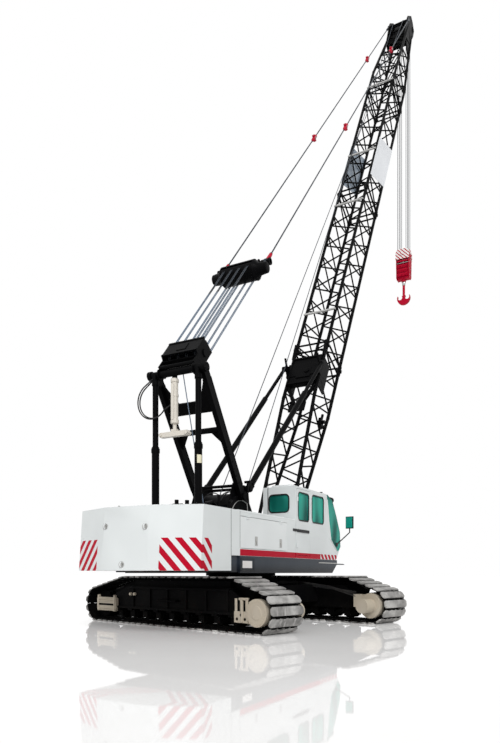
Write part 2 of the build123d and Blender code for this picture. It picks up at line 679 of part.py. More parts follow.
with BuildPart() as cab:
    with BuildSketch(side_plane(-SIDE_Y)):
        with BuildLine():
            Polyline(*[(-x, z) for x, z in CAB_SIDE], close=True)
        make_face()
    extrude(amount=CAB_WIDTH)
    with BuildSketch(side_plane(-SIDE_Y + CAB_WALL)):
        with BuildLine():
            Polyline(*[(-x, z) for x, z in CAB_SIDE], close=True)
        make_face()
        offset(amount=-CAB_WALL, kind=Kind.INTERSECTION, mode=Mode.REPLACE)
    extrude(amount=CAB_WIDTH - 2 * CAB_WALL, mode=Mode.SUBTRACT)
    # door opening, windows and windscreen
    slab(DOOR_REAR, DOOR_FRONT, -SIDE_Y - 10, -SIDE_Y + CAB_WALL + 1, DOOR_BOTTOM, DOOR_TOP,
         mode=Mode.SUBTRACT)
    slab(CAB_REAR - 10, CAB_REAR + CAB_WALL + 1, REAR_WINDOW[0], REAR_WINDOW[1],
         REAR_WINDOW[2], REAR_WINDOW[3], mode=Mode.SUBTRACT)
    slab(SIDE_WINDOW[0], SIDE_WINDOW[1], -SIDE_Y - 10, -SIDE_Y + CAB_WALL + 1,
         SIDE_WINDOW[2], SIDE_WINDOW[3], mode=Mode.SUBTRACT)
    slab(INNER_WINDOW[0], INNER_WINDOW[1], -CAB_INNER_Y - CAB_WALL - 1, -CAB_INNER_Y + 10,
         INNER_WINDOW[2], INNER_WINDOW[3], mode=Mode.SUBTRACT)
    with BuildSketch(screen_plane(CAB_WALL + 1)):
        Rectangle(CAB_WIDTH - 2 * SCREEN_FRAME, SCREEN_LENGTH - 2 * SCREEN_FRAME)
    extrude(amount=CAB_WALL + 20, mode=Mode.SUBTRACT)
    # crown of the roof
    with BuildSketch(Plane.XY.offset(CAB_TOP)):
        with Locations(((CAB_REAR + CAB_ROOF_FRONT) / 2, -(SIDE_Y + CAB_INNER_Y) / 2)):
            RectangleRounded(CAB_ROOF_FRONT - CAB_REAR - CAB_CROWN_INSET,
                             CAB_WIDTH - 2 * CAB_CROWN_INSET, 120)
    extrude(amount=CAB_CROWN, taper=35)
save(cab, "cab_shell")

with BuildPart() as cab_glass:
    slab(CAB_REAR + 15, CAB_REAR + 15 + GLASS, REAR_WINDOW[0], REAR_WINDOW[1],
         REAR_WINDOW[2], REAR_WINDOW[3])
    slab(SIDE_WINDOW[0], SIDE_WINDOW[1], -SIDE_Y + 15, -SIDE_Y + 15 + GLASS,
         SIDE_WINDOW[2], SIDE_WINDOW[3])
    slab(INNER_WINDOW[0], INNER_WINDOW[1], -CAB_INNER_Y - 15 - GLASS, -CAB_INNER_Y - 15,
         INNER_WINDOW[2], INNER_WINDOW[3])
    with BuildSketch(screen_plane(15 + GLASS)):
        Rectangle(CAB_WIDTH - 2 * SCREEN_FRAME, SCREEN_LENGTH - 2 * SCREEN_FRAME)
    extrude(amount=GLASS)
save(cab_glass, "cab_glass")

DOOR_WINDOW = (DOOR_REAR + 75, DOOR_FRONT - 75, 2430.0, DOOR_TOP - 75)
with BuildPart() as cab_door:
    slab(DOOR_REAR + SWING_GAP, DOOR_FRONT - SWING_GAP, -SIDE_Y, -SIDE_Y + CAB_WALL,
         DOOR_BOTTOM + SWING_GAP, DOOR_TOP - SWING_GAP)
    slab(DOOR_WINDOW[0], DOOR_WINDOW[1], -SIDE_Y - 10, -SIDE_Y + CAB_WALL + 10,
         DOOR_WINDOW[2], DOOR_WINDOW[3], mode=Mode.SUBTRACT)
    # hinge knuckles on the door's rear edge
    for z in (DOOR_BOTTOM + 250, DOOR_TOP - 250):
        add(drop(DOOR_REAR, -SIDE_Y - KNUCKLE, z - 60, z + 60, KNUCKLE - GAP))
        slab(DOOR_REAR, DOOR_REAR + SWING_GAP + 60, -SIDE_Y - KNUCKLE, -SIDE_Y,
             z - 50, z + 50)
save(cab_door, "cab_door")

with BuildPart() as door_glass:
    slab(DOOR_WINDOW[0], DOOR_WINDOW[1], -SIDE_Y + 15, -SIDE_Y + 15 + GLASS,
         DOOR_WINDOW[2], DOOR_WINDOW[3])
save(door_glass, "door_glass")

SEAT_X = 900.0
SEAT_Y = -(SIDE_Y + CAB_INNER_Y) / 2
CAB_FLOOR = DECK_TOP + CAB_WALL
with BuildPart() as seat:
    slab(SEAT_X - 180, SEAT_X + 180, SEAT_Y - 160, SEAT_Y + 160, CAB_FLOOR, CAB_FLOOR + 330)
    slab(SEAT_X - 250, SEAT_X + 260, SEAT_Y - 240, SEAT_Y + 240, CAB_FLOOR + 330, CAB_FLOOR + 460)
    slab(SEAT_X - 300, SEAT_X - 170, SEAT_Y - 230, SEAT_Y + 230, CAB_FLOOR + 400, CAB_FLOOR + 1120)
    # control consoles on both sides of the seat
    for y in (SEAT_Y - 330, SEAT_Y + 330):
        slab(SEAT_X - 100, SEAT_X + 420, y - 60, y + 60, CAB_FLOOR, CAB_FLOOR + 560)
        add(drop(SEAT_X + 330, y, CAB_FLOOR + 560, CAB_FLOOR + 760, 14))
save(seat, "operator_seat")

# ---------------------------------------------------------------- mirror and lamp
MIRROR_X = 3480.0
with BuildPart() as mirror:
    arm = (Vector(2550, -SIDE_Y - 20, 1950), Vector(MIRROR_X, -SIDE_Y - 40, 2330),
           Vector(MIRROR_X, -SIDE_Y - 40, 2760))
    slab(2500, 2600, -SIDE_Y - 36, -SIDE_Y, 1900, 2000)
    add([rod(arm[0], arm[1], 16), rod(arm[1], arm[2], 16)])
    with Locations(arm[1]):
        Sphere(16)
    slab(MIRROR_X - 25, MIRROR_X + 25, -SIDE_Y - 150, -SIDE_Y + 70, 2440, 2780)
save(mirror, "mirror")

LAMP_Y = -SIDE_Y + 130
with BuildPart() as lamp:
    lamp_at = Vector(2420, LAMP_Y, 3150)
    add(rod(lamp_at, lamp_at + Vector(120, 0, 0), 75))
    add(rod(Vector(CAB_ROOF_FRONT - 40, LAMP_Y, CAB_TOP + 40), lamp_at, 14))
    slab(CAB_ROOF_FRONT - 80, CAB_ROOF_FRONT - 20, LAMP_Y - 25, LAMP_Y + 25, CAB_TOP,
         CAB_TOP + 60)
save(lamp, "cab_lamp")

# ---------------------------------------------------------------- winches
DRUMS = (  # name, x, z, barrel radius, flange radius
    ("boom_hoist_drum", -2020.0, 2290.0, 250.0, 430.0),
    ("main_drum", -860.0, 2390.0, 330.0, 600.0),
    ("front_drum", 330.0, 2060.0, 270.0, 470.0))
WINCH_SIDE = (  # x, z of a winch plate
    (WINCH_REAR, DECK_TOP), (WINCH_FRONT, DECK_TOP), (WINCH_FRONT, WINCH_SHOULDER),
    (TOWER_FRONT + 140, WINCH_SHOULDER + 260), (TOWER_FRONT, TOWER_TOP), (TOWER_REAR, TOWER_TOP),
    (TOWER_REAR - 300, WINCH_SHOULDER + 360), (WINCH_REAR, WINCH_SHOULDER + 200))
with BuildPart() as winch_plates:
    for y in (-WINCH_PLATE_Y - WINCH_PLATE, WINCH_PLATE_Y):
        with BuildSketch(side_plane(y)):
            with BuildLine():
                Polyline(*[(-x, z) for x, z in WINCH_SIDE], close=True)
            make_face()
            with Locations(*[(-x, z) for _, x, z, _, _ in DRUMS]):
                Circle(DRUM_SHAFT + PIN_PLAY, mode=Mode.SUBTRACT)
        extrude(amount=WINCH_PLATE)
    # pins for the gantry legs and the backstops
    for sign in (-1, 1):
        face = sign * (WINCH_PLATE_Y + WINCH_PLATE)
        leg_end = sign * (LEG_Y + LEG_WIDTH / 2 + 15)
        y0, y1 = sorted((face, leg_end))
        add(cross_bar(LEG_FOOT_X, LEG_FOOT_Z, y0, y1, LEG_PIN_RADIUS))
        stop_end = sign * (STOP_Y + STOP_EYE_HALF_WIDTH + 15)
        y0, y1 = sorted((face, stop_end))
        add(cross_bar(STOP_FOOT_X, STOP_FOOT_Z, y0, y1, STOP_PIN_RADIUS))
    # curved cover over the main drum
    with BuildSketch(side_plane(-WINCH_PLATE_Y)):
        with BuildLine():
            CenterArc((-DRUMS[1][1], DRUMS[1][2]), COVER_RADIUS, 30, 120)
            offset(amount=COVER_SHEET, side=Side.LEFT)
        make_face()
    extrude(amount=2 * WINCH_PLATE_Y)
save(winch_plates, "winch_frames")

for name, x, z, barrel, flange in DRUMS:
    with BuildPart() as drum:
        half = DRUM_LENGTH / 2
        with BuildSketch(side_plane(-half)):
            with Locations((-x, z)):
                Circle(flange)
        extrude(amount=40)
        with BuildSketch(side_plane(half - 40)):
            with Locations((-x, z)):
                Circle(flange)
        extrude(amount=40)
        with BuildSketch(side_plane(-half)):
            with Locations((-x, z)):
                Circle(barrel)
        extrude(amount=2 * half)
        with BuildSketch(side_plane(-WINCH_PLATE_Y - WINCH_PLATE)):
            with Locations((-x, z)):
                Circle(DRUM_SHAFT)
        extrude(amount=2 * (WINCH_PLATE_Y + WINCH_PLATE))
    save(drum, name)

# ---------------------------------------------------------------- gantry
STAY_TOP = HEAD_Z - 140
with BuildPart() as back_stays:
    for sign in (-1, 1):
        add([drop(STAY_X, sign * STAY_Y, DECK_TOP, STAY_SPLIT, STAY_LOWER_RADIUS),
             drop(STAY_X, sign * STAY_Y, STAY_SPLIT, STAY_TOP, STAY_UPPER_RADIUS)])
save(back_stays, "gantry_back_stays")

LEG_TOP = Vector(HEAD_X + 95, 0, HEAD_Z + 10)
LEG_FOOT = Vector(LEG_FOOT_X, 0, LEG_FOOT_Z)
LEG_AXIS = LEG_TOP - LEG_FOOT
LEG_ALONG = LEG_AXIS.normalized()
LEG_SQUARE = Vector(-LEG_ALONG.Z, 0, LEG_ALONG.X)
LEG_LENGTH = LEG_AXIS.length


def leg_plane(y):
    """Plane of a gantry leg's side: x up the leg, z to the left."""
    return Plane(origin=LEG_FOOT + LEFT * y, x_dir=LEG_ALONG, z_dir=LEFT)


with BuildPart() as gantry_frame:
    for sign in (-1, 1):
        with BuildSketch(leg_plane(sign * LEG_Y - LEG_WIDTH / 2)):
            with Locations((LEG_LENGTH / 2, 0)):
                Rectangle(LEG_LENGTH, LEG_DEPTH)
            Circle(LEG_DEPTH / 2)
            Circle(LEG_PIN_RADIUS, mode=Mode.SUBTRACT)
        extrude(amount=LEG_WIDTH)
    # portal plate high up, open above its sill, and a cross tube with gussets lower down
    with BuildSketch(Plane(origin=LEG_FOOT, x_dir=LEFT, z_dir=LEG_ALONG.cross(LEFT) * -1)):
        with BuildLine():
            Polyline((-LEG_Y, PORTAL_START * LEG_LENGTH), (LEG_Y, PORTAL_START * LEG_LENGTH),
                     (LEG_Y, PORTAL_END * LEG_LENGTH), (-LEG_Y, PORTAL_END * LEG_LENGTH),
                     close=True)
        make_face()
        with BuildLine():
            Polyline((-PORTAL_WINDOW_Y, PORTAL_SILL * LEG_LENGTH),
                     (PORTAL_WINDOW_Y, PORTAL_SILL * LEG_LENGTH),
                     (LEG_Y - 60, (PORTAL_END + 0.01) * LEG_LENGTH),
                     (-LEG_Y + 60, (PORTAL_END + 0.01) * LEG_LENGTH), close=True)
        make_face(mode=Mode.SUBTRACT)
    extrude(amount=PORTAL_HALF, both=True)
    with BuildSketch(leg_plane(-LEG_Y)):
        with Locations((LEG_TUBE * LEG_LENGTH, 0)):
            Circle(62)
    extrude(amount=2 * LEG_Y)
    for sign in (-1, 1):
        with BuildSketch(Plane(origin=LEG_FOOT, x_dir=LEFT, z_dir=LEG_ALONG.cross(LEFT) * -1)):
            with BuildLine():
                Polyline((sign * LEG_Y, LEG_TUBE * LEG_LENGTH),
                         (sign * (LEG_Y - 330), LEG_TUBE * LEG_LENGTH),
                         (sign * (LEG_Y - 40), (LEG_TUBE - 0.13) * LEG_LENGTH),
                         (sign * LEG_Y, (LEG_TUBE - 0.13) * LEG_LENGTH), close=True)
            make_face()
        extrude(amount=12, both=True)
    add(cross_bar(HEAD_X, HEAD_Z, -LEG_Y - 75, LEG_Y + 75, HEAD_TUBE_RADIUS))
    # lugs over the stays and over the lifting cylinder
    for y0, y1 in ((-STAY_Y - 40, -STAY_Y + 40), (STAY_Y - 40, STAY_Y + 40)):
        slab(STAY_X - 55, STAY_X + 55, y0, y1, STAY_TOP, HEAD_Z)
    slab(LIFT_X - 40, LIFT_X + 40, LIFT_Y - 40, LIFT_Y + 40, LIFT_TOP, HEAD_Z)
save(gantry_frame, "gantry_frame")

LINE_AXIS = Vector(BRIDLE_X - HEAD_X, 0, BRIDLE_Z - HEAD_Z)
LINE_ALONG = LINE_AXIS.normalized()
LINE_SQUARE = Vector(-LINE_ALONG.Z, 0, LINE_ALONG.X)


def line_plane(y, reach):
    """Side plane with x along the line from the gantry head to the bridle, reach along it."""
    origin = Vector(HEAD_X, y, HEAD_Z) + LINE_ALONG * reach
    return Plane(origin=origin, x_dir=LINE_ALONG, z_dir=LEFT)


def sheave(plane, width, grooves=1):
    """A grooved wheel standing on a side plane, width to the left."""
    flange = (width - grooves * (2 * ROPE_RADIUS + 6)) / (grooves + 1)
    step = (width - flange) / grooves
    add([Solid.make_cylinder(SHEAVE_RIM, flange, plane.offset(i * step))
         for i in range(grooves + 1)])
    add(Solid.make_cylinder(SHEAVE_GROOVE, width, plane))


with BuildPart() as bail:
    for y in (-BAIL_Y - BAIL_PLATE, BAIL_Y):
        with BuildSketch(line_plane(y, 0)):
            with Locations(((BAIL_TIP + 60) / 2, 0)):
                Rectangle(BAIL_TIP - 60, 2 * BAIL_HALF_DEPTH)
            Circle(HEAD_TUBE_RADIUS + 45)
            Circle(HEAD_TUBE_RADIUS + PIN_PLAY, mode=Mode.SUBTRACT)
        extrude(amount=BAIL_PLATE)
    with BuildSketch(line_plane(-BAIL_Y, 0)):
        with Locations((BAIL_PIN - 300, 0)):
            Rectangle(40, 2 * BAIL_HALF_DEPTH - 20)
        with Locations((BAIL_PIN, 0)):
            Circle(SHEAVE_PIN_RADIUS)
    extrude(amount=2 * BAIL_Y)
    # cover plate behind the sheaves, carried on the side plates
    with BuildSketch(line_plane(-BAIL_Y - BAIL_PLATE, 0)):
        with BuildLine():
            Polyline(*[flat(x, z) for x, z in BAIL_COVER], close=True)
        make_face()
    extrude(amount=2 * (BAIL_Y + BAIL_PLATE))
    for y in (-BAIL_Y - BAIL_PLATE, BAIL_Y):
        with BuildSketch(line_plane(y, 0)):
            with BuildLine():
                Polyline(flat(300, 140), flat(BAIL_COVER[0][0], BAIL_COVER[0][1] + 4),
                         flat(BAIL_COVER[1][0], BAIL_COVER[0][1] + 4), flat(760, 140), close=True)
            make_face()
        extrude(amount=BAIL_PLATE)
    for y in ROPE_SHEAVE_YS:
        sheave(line_plane(y - BAIL_SHEAVE_WIDTH / 2, BAIL_PIN), BAIL_SHEAVE_WIDTH, BAIL_GROOVES)
save(bail, "gantry_bail")

with BuildPart() as lift_barrel:
    add(drop(LIFT_X, LIFT_Y, LIFT_BARREL_BOTTOM, LIFT_TOP, LIFT_BARREL_RADIUS))
    add(drop(LIFT_X, LIFT_Y, LIFT_BARREL_BOTTOM - 1, LIFT_TOP - 60, LIFT_ROD_RADIUS + PIN_PLAY),
        mode=Mode.SUBTRACT)
save(lift_barrel, "lift_cylinder")

with BuildPart() as lift_rod:
    add(drop(LIFT_X, LIFT_Y, YOKE_Z, LIFT_TOP - 70, LIFT_ROD_RADIUS))
    slab(LIFT_X - 60, LIFT_X + 60, LIFT_Y - YOKE_HALF_WIDTH, LIFT_Y + YOKE_HALF_WIDTH,
         YOKE_Z - 50, YOKE_Z + 50)
save(lift_rod, "lift_yoke")

# ---------------------------------------------------------------- boom sections


def half_depth(s):
    """Half the distance between the front and rear chords."""
    full = BOOM_DEPTH / 2
    if s < BUTT_TAPER_END:
        return FOOT_HALF_DEPTH + (full - FOOT_HALF_DEPTH) * s / BUTT_TAPER_END
    if s > TIP_TAPER_START:
        share = (s - TIP_TAPER_START) / (TIP_END - TIP_TAPER_START)
        return full + (TIP_HALF_DEPTH - full) * share
    return full


def half_width(s):
    """Half the distance between the left and right chords."""
    full = BOOM_WIDTH / 2
    if s > TIP_TAPER_START:
        share = (s - TIP_TAPER_START) / (TIP_END - TIP_TAPER_START)
        return full + (TIP_HALF_WIDTH - full) * share
    return full


def corner(s, rear, left):
    """Centre of a chord; rear and left are +1 or -1."""
    return boom_point(s, rear * half_depth(s), left * half_width(s))


def chords(stations):
    """The four chords through the stations, as round tubes with collars over the bends."""
    for rear in (-1, 1):
        for left in (-1, 1):
            ends = [corner(s, rear, left) for s in stations]
            add([rod(a, b, CHORD_RADIUS) for a, b in zip(ends, ends[1:])])
            for bend in ends[1:-1]:
                add(rod(bend - BOOM_DIR * COLLAR, bend + BOOM_DIR * COLLAR, CHORD_RADIUS + 4))


def frame_at(s, radius):
    """A square of bars round the four chords."""
    ring = [corner(s, 1, 1), corner(s, 1, -1), corner(s, -1, -1), corner(s, -1, 1)]
    add([rod(a, b, radius) for a, b in zip(ring, ring[1:] + ring[:1])])


FACES = (  # chord touched at even steps, chord touched at odd steps, as (rear, left)
    ((1, 1), (-1, 1)), ((1, -1), (1, 1)), ((-1, -1), (1, -1)), ((-1, 1), (-1, -1)))
FRONT_FACE = 3


def lacing(first, last, front_last):
    """Zigzag bars on all four faces; the front face's end at front_last."""
    count = round((last - first) / LACING_STEP)
    step = (last - first) / count
    for number, (even, odd) in enumerate(FACES):
        for i in range(count):
            s = first + i * step
            if number == FRONT_FACE and s + step > front_last:
                continue
            a, b = (even, odd) if i % 2 == 0 else (odd, even)
            add(rod(corner(s, *a), corner(s + step, *b), LACING_RADIUS))


def couplers(s0, s1):
    """Thick sleeves on the chords where two sections are pinned together."""
    for rear in (-1, 1):
        for left in (-1, 1):
            add(rod(corner(s0, rear, left), corner(s1, rear, left), COUPLER_RADIUS))


with BuildPart() as boom_butt:
    chords((500, BUTT_TAPER_END, BUTT_END))
    lacing(1000, BUTT_END - 150, BUTT_END)
    frame_at(BUTT_END - 150, BAR_RADIUS)
    couplers(BUTT_END - COUPLER_LENGTH, BUTT_END)
    # foot lugs and the heel tube
    for y in (-BOOM_WIDTH / 2 - LUG_THICK / 2, BOOM_WIDTH / 2 - LUG_THICK / 2):
        with BuildSketch(boom_plane(y)):
            with BuildLine():
                Polyline((0, -FOOT_LUG_RADIUS), (700, -170), (700, 170), (0, FOOT_LUG_RADIUS),
                         close=True)
            make_face()
            Circle(FOOT_LUG_RADIUS)
            Circle(FOOT_PIN_RADIUS + PIN_PLAY, mode=Mode.SUBTRACT)
        extrude(amount=LUG_THICK)
    add(rod(boom_point(640, 0, -BOOM_WIDTH / 2), boom_point(640, 0, BOOM_WIDTH / 2), 75))
    # box across the rear chords, with the ears the backstops work on
    with BuildSketch(boom_plane(-BUTT_BOX_Y)):
        with BuildLine():
            Polyline(*[flat(s, n) for s, n in BUTT_BOX], close=True)
        make_face()
    extrude(amount=2 * BUTT_BOX_Y)
    with BuildSketch(boom_plane(-STOP_EAR_Y)):
        with BuildLine():
            Polyline(flat(STOP_S - 250, 560), flat(STOP_S + 250, 560), flat(STOP_S + 250, 660),
                     flat(STOP_S - 250, 660), close=True)
        make_face()
    extrude(amount=2 * STOP_EAR_Y)
    for y in (-STOP_EAR_Y, STOP_EAR_Y - 25):
        with BuildSketch(boom_plane(y)):
            with BuildLine():
                Polyline(flat(STOP_S - 180, 650), flat(STOP_S + 180, 650),
                         flat(STOP_S + 70, STOP_N + 60), flat(STOP_S - 70, STOP_N + 60), close=True)
            make_face()
        extrude(amount=25)
save(boom_butt, "boom_butt")

for name, start, end in (("boom_insert_a", BUTT_END, INSERT_A_END),
                         ("boom_insert_b", INSERT_A_END, INSERT_B_END)):
    with BuildPart() as insert:
        chords((start, end))
        lacing(start + 150, end - 150, end)
        for s in (start + 150, end - 150):
            frame_at(s, BAR_RADIUS)
        couplers(start, start + COUPLER_LENGTH)
        couplers(end - COUPLER_LENGTH, end)
    save(insert, name)

HEAD_OUTLINE = (  # s, n of the head plates
    (24900, 385), (26100, 515), (26330, 495), (26900, 230), (26930, -60), (26830, -330),
    (26450, -370), (25900, -275), (24900, -350))
HEAD_COVER = (25250.0, 26120.0)   # along the boom, a plate between the head plates
with BuildPart() as boom_tip:
    chords((INSERT_B_END, TIP_TAPER_START, TIP_END))
    lacing(INSERT_B_END + 150, TIP_END - 60, THROAT)
    frame_at(INSERT_B_END + 150, BAR_RADIUS)
    couplers(INSERT_B_END, INSERT_B_END + COUPLER_LENGTH)
    for y in (-TIP_HALF_WIDTH - HEAD_PLATE, TIP_HALF_WIDTH):
        with BuildSketch(boom_plane(y)):
            with BuildLine():
                Polyline(*[flat(s, n) for s, n in HEAD_OUTLINE], close=True)
            make_face()
            with Locations(flat(HEAD_PIN_S, HEAD_PIN_N)):
                Circle(HEAD_PIN_RADIUS, mode=Mode.SUBTRACT)
            with Locations(flat(*JIB_PIN)):
                Circle(JIB_PIN_RADIUS, mode=Mode.SUBTRACT)
        extrude(amount=HEAD_PLATE)
    # stubs the pendants hang on
    for sign in (-1, 1):
        stub = sorted((sign * TIP_HALF_WIDTH, sign * (PENDANT_Y + 25)))
        add(rod(boom_point(PENDANT_S, PENDANT_N, stub[0]), boom_point(PENDANT_S, PENDANT_N, stub[1]),
                PENDANT_PIN_RADIUS))
    add(rod(boom_point(26200, 400, -TIP_HALF_WIDTH), boom_point(26200, 400, TIP_HALF_WIDTH), 45))
    with BuildSketch(boom_plane(-TIP_HALF_WIDTH)):
        with Locations(flat(sum(HEAD_COVER) / 2, 270)):
            Rectangle(HEAD_COVER[1] - HEAD_COVER[0], 24)
    extrude(amount=2 * TIP_HALF_WIDTH)
save(boom_tip, "boom_tip")

with BuildPart() as head_sheaves:
    for sign in (-1, 1):
        sheave(boom_plane_at(HEAD_PIN_S, HEAD_PIN_N, sign * LINE_Y - LINE_SHEAVE_WIDTH / 2),
               LINE_SHEAVE_WIDTH)
    with BuildSketch(boom_plane_at(HEAD_PIN_S, HEAD_PIN_N, -TIP_HALF_WIDTH - HEAD_PLATE)):
        Circle(HEAD_PIN_RADIUS)
    extrude(amount=2 * (TIP_HALF_WIDTH + HEAD_PLATE))
save(head_sheaves, "head_sheaves")

SIGN_HALF = BOOM_DEPTH / 2 + 30
with BuildPart() as signs:
    for y in (-BOOM_WIDTH / 2 - CHORD_RADIUS - SIGN_THICK, BOOM_WIDTH / 2 + CHORD_RADIUS):
        with BuildSketch(boom_plane(y)):
            with BuildLine():
                Polyline(flat(SIGN_REAR[0], SIGN_HALF), flat(SIGN_REAR[1], SIGN_HALF),
                         flat(SIGN_FRONT[1], -SIGN_HALF), flat(SIGN_FRONT[0], -SIGN_HALF),
                         close=True)
            make_face()
        extrude(amount=SIGN_THICK)
save(signs, "boom_panels")

# ---------------------------------------------------------------- backstops
STOP_FOOT = Vector(STOP_FOOT_X, 0, STOP_FOOT_Z)
STOP_EYE = boom_point(STOP_S, STOP_N, 0)
STOP_AXIS = (STOP_EYE - STOP_FOOT).normalized()
STOP_LENGTH = (STOP_EYE - STOP_FOOT).length


def stop_plane(y, reach):
    """Side plane with x along the backstops, reach along them from their feet."""
    return Plane(origin=STOP_FOOT + LEFT * y + STOP_AXIS * reach, x_dir=STOP_AXIS, z_dir=LEFT)


with BuildPart() as stop_tubes:
    for y in (-STOP_Y, STOP_Y):
        base = STOP_FOOT + LEFT * y
        with BuildSketch(stop_plane(y - STOP_EYE_HALF_WIDTH, 0)):
            Circle(STOP_EYE_RADIUS)
            with Locations((100, 0)):
                Rectangle(200, 2 * STOP_EYE_RADIUS)
            Circle(STOP_PIN_RADIUS + PIN_PLAY, mode=Mode.SUBTRACT)
        extrude(amount=2 * STOP_EYE_HALF_WIDTH)
        add(rod(base + STOP_AXIS * 160, base + STOP_AXIS * STOP_TUBE_LENGTH, STOP_TUBE_RADIUS))
        add(rod(base + STOP_AXIS * STOP_BORE_START, base + STOP_AXIS * (STOP_TUBE_LENGTH + 1),
                STOP_ROD_RADIUS + PIN_PLAY), mode=Mode.SUBTRACT)
save(stop_tubes, "backstop_tubes")

with BuildPart() as stop_rods:
    for y in (-STOP_Y, STOP_Y):
        base = STOP_FOOT + LEFT * y
        add(rod(base + STOP_AXIS * (STOP_LENGTH - STOP_ROD_BACK),
                base + STOP_AXIS * (STOP_LENGTH - 40), STOP_ROD_RADIUS))
        with BuildSketch(stop_plane(y - STOP_EYE_HALF_WIDTH, STOP_LENGTH)):
            Circle(STOP_EYE_RADIUS)
        extrude(amount=2 * STOP_EYE_HALF_WIDTH)
        half = STOP_EYE_HALF_WIDTH + STOP_PIN_PROUD
        with BuildSketch(stop_plane(y - half, STOP_LENGTH)):
            Circle(STOP_PIN_RADIUS)
        extrude(amount=2 * half)
save(stop_rods, "backstop_rods")

# ---------------------------------------------------------------- pendants and bridle
BRIDLE_REACH = LINE_AXIS.length
BRIDLE = Vector(BRIDLE_X, 0, BRIDLE_Z)
BAR_AT = BRIDLE + LINE_ALONG * BRIDLE_BAR
with BuildPart() as bridle:
    for y in (-BRIDLE_Y - BAIL_PLATE, BRIDLE_Y):
        with BuildSketch(line_plane(y, BRIDLE_REACH)):
            with Locations((80, 0)):
                RectangleRounded(560, 230, 60)
        extrude(amount=BAIL_PLATE)
    add(rod(BAR_AT - LEFT * BRIDLE_HALF_WIDTH, BAR_AT + LEFT * BRIDLE_HALF_WIDTH,
            BRIDLE_BAR_RADIUS))
    add(rod(BRIDLE - LEFT * BRIDLE_Y, BRIDLE + LEFT * BRIDLE_Y, SHEAVE_PIN_RADIUS))
    for y in ROPE_SHEAVE_YS:
        sheave(line_plane(y - BAIL_SHEAVE_WIDTH / 2, BRIDLE_REACH), BAIL_SHEAVE_WIDTH,
               BAIL_GROOVES)
    # curved guard over the sheaves, open towards the ropes
    with BuildSketch(line_plane(-BRIDLE_Y - BAIL_PLATE, BRIDLE_REACH)):
        Circle(GUARD_RADIUS)
        Circle(GUARD_RADIUS - GUARD_THICK, mode=Mode.SUBTRACT)
        with Locations((-GUARD_RADIUS, 0)):
            Rectangle(2 * GUARD_RADIUS, 2 * GUARD_RADIUS + 2, mode=Mode.SUBTRACT)
    extrude(amount=2 * (BRIDLE_Y + BAIL_PLATE))
save(bridle, "bridle")

with BuildPart() as pendants:
    for sign in (-1, 1):
        top = boom_point(PENDANT_S, PENDANT_N, sign * PENDANT_Y)
        low = BAR_AT + LEFT * (sign * BRIDLE_PENDANT_Y)
        along = (low - top).normalized()
        add(rod(top + along * 50, low - along * 60, PENDANT_RADIUS))
        add(rod(low - along * 420, low - along * 62, SOCKET_RADIUS))
        add(rod(top + along * 45, top + along * 330, SOCKET_RADIUS))
        with BuildSketch(boom_plane_at(PENDANT_S, PENDANT_N, sign * PENDANT_Y - 15)):
            Circle(60)
            Circle(PENDANT_PIN_RADIUS + PIN_PLAY, mode=Mode.SUBTRACT)
        extrude(amount=30)
        with BuildSketch(line_plane(sign * BRIDLE_PENDANT_Y - 30, BRIDLE_REACH + BRIDLE_BAR)):
            Circle(BRIDLE_BAR_RADIUS + 30)
            Circle(BRIDLE_BAR_RADIUS, mode=Mode.SUBTRACT)
        extrude(amount=60)
save(pendants, "pendants")

# ---------------------------------------------------------------- load lines, block and hook
HEAD_PIN = boom_point(HEAD_PIN_S, HEAD_PIN_N, 0)
FALL = SHEAVE_GROOVE + ROPE_RADIUS + GAP
for name, offset_x in (("load_line_front", FALL), ("load_line_rear", -FALL)):
    with BuildPart() as falls:
        for y in (-LINE_Y, LINE_Y):
            add(drop(HEAD_PIN.X + offset_x, y, BLOCK_Z, HEAD_PIN.Z, ROPE_RADIUS))
    save(falls, name)


def block_plane(y):
    """Side plane through the axis of the block's sheaves."""
    return Plane(origin=(HEAD_PIN.X, y, BLOCK_Z), x_dir=(-1, 0, 0), z_dir=(0, 1, 0))


BLOCK_DROP = BLOCK_Z - BLOCK_BOTTOM
BLOCK_RISE = BLOCK_TOP - BLOCK_Z
with BuildPart() as block:
    for y in (-CHEEK_Y - CHEEK, CHEEK_Y):
        with BuildSketch(block_plane(y)):
            with BuildLine():
                Polyline((-150, -BLOCK_DROP), (150, -BLOCK_DROP), (235, -500), (235, 120),
                         (150, BLOCK_RISE), (-150, BLOCK_RISE), (-235, 120), (-235, -500),
                         close=True)
            make_face()
        extrude(amount=CHEEK)
    with BuildSketch(block_plane(-CHEEK_Y)):
        Circle(HEAD_PIN_RADIUS)
        with Locations((0, -560)):
            Rectangle(300, 560)
        with Locations((0, -BLOCK_DROP + 60)):
            Rectangle(220, 120)
    extrude(amount=2 * CHEEK_Y)
    add(drop(HEAD_PIN.X, 0, BLOCK_BOTTOM - 1, BLOCK_BOTTOM + 260, HOOK_SHANK_RADIUS + PIN_PLAY),
        mode=Mode.SUBTRACT)
    for sign in (-1, 1):
        sheave(block_plane(sign * LINE_Y - LINE_SHEAVE_WIDTH / 2), LINE_SHEAVE_WIDTH)
save(block, "hook_block")

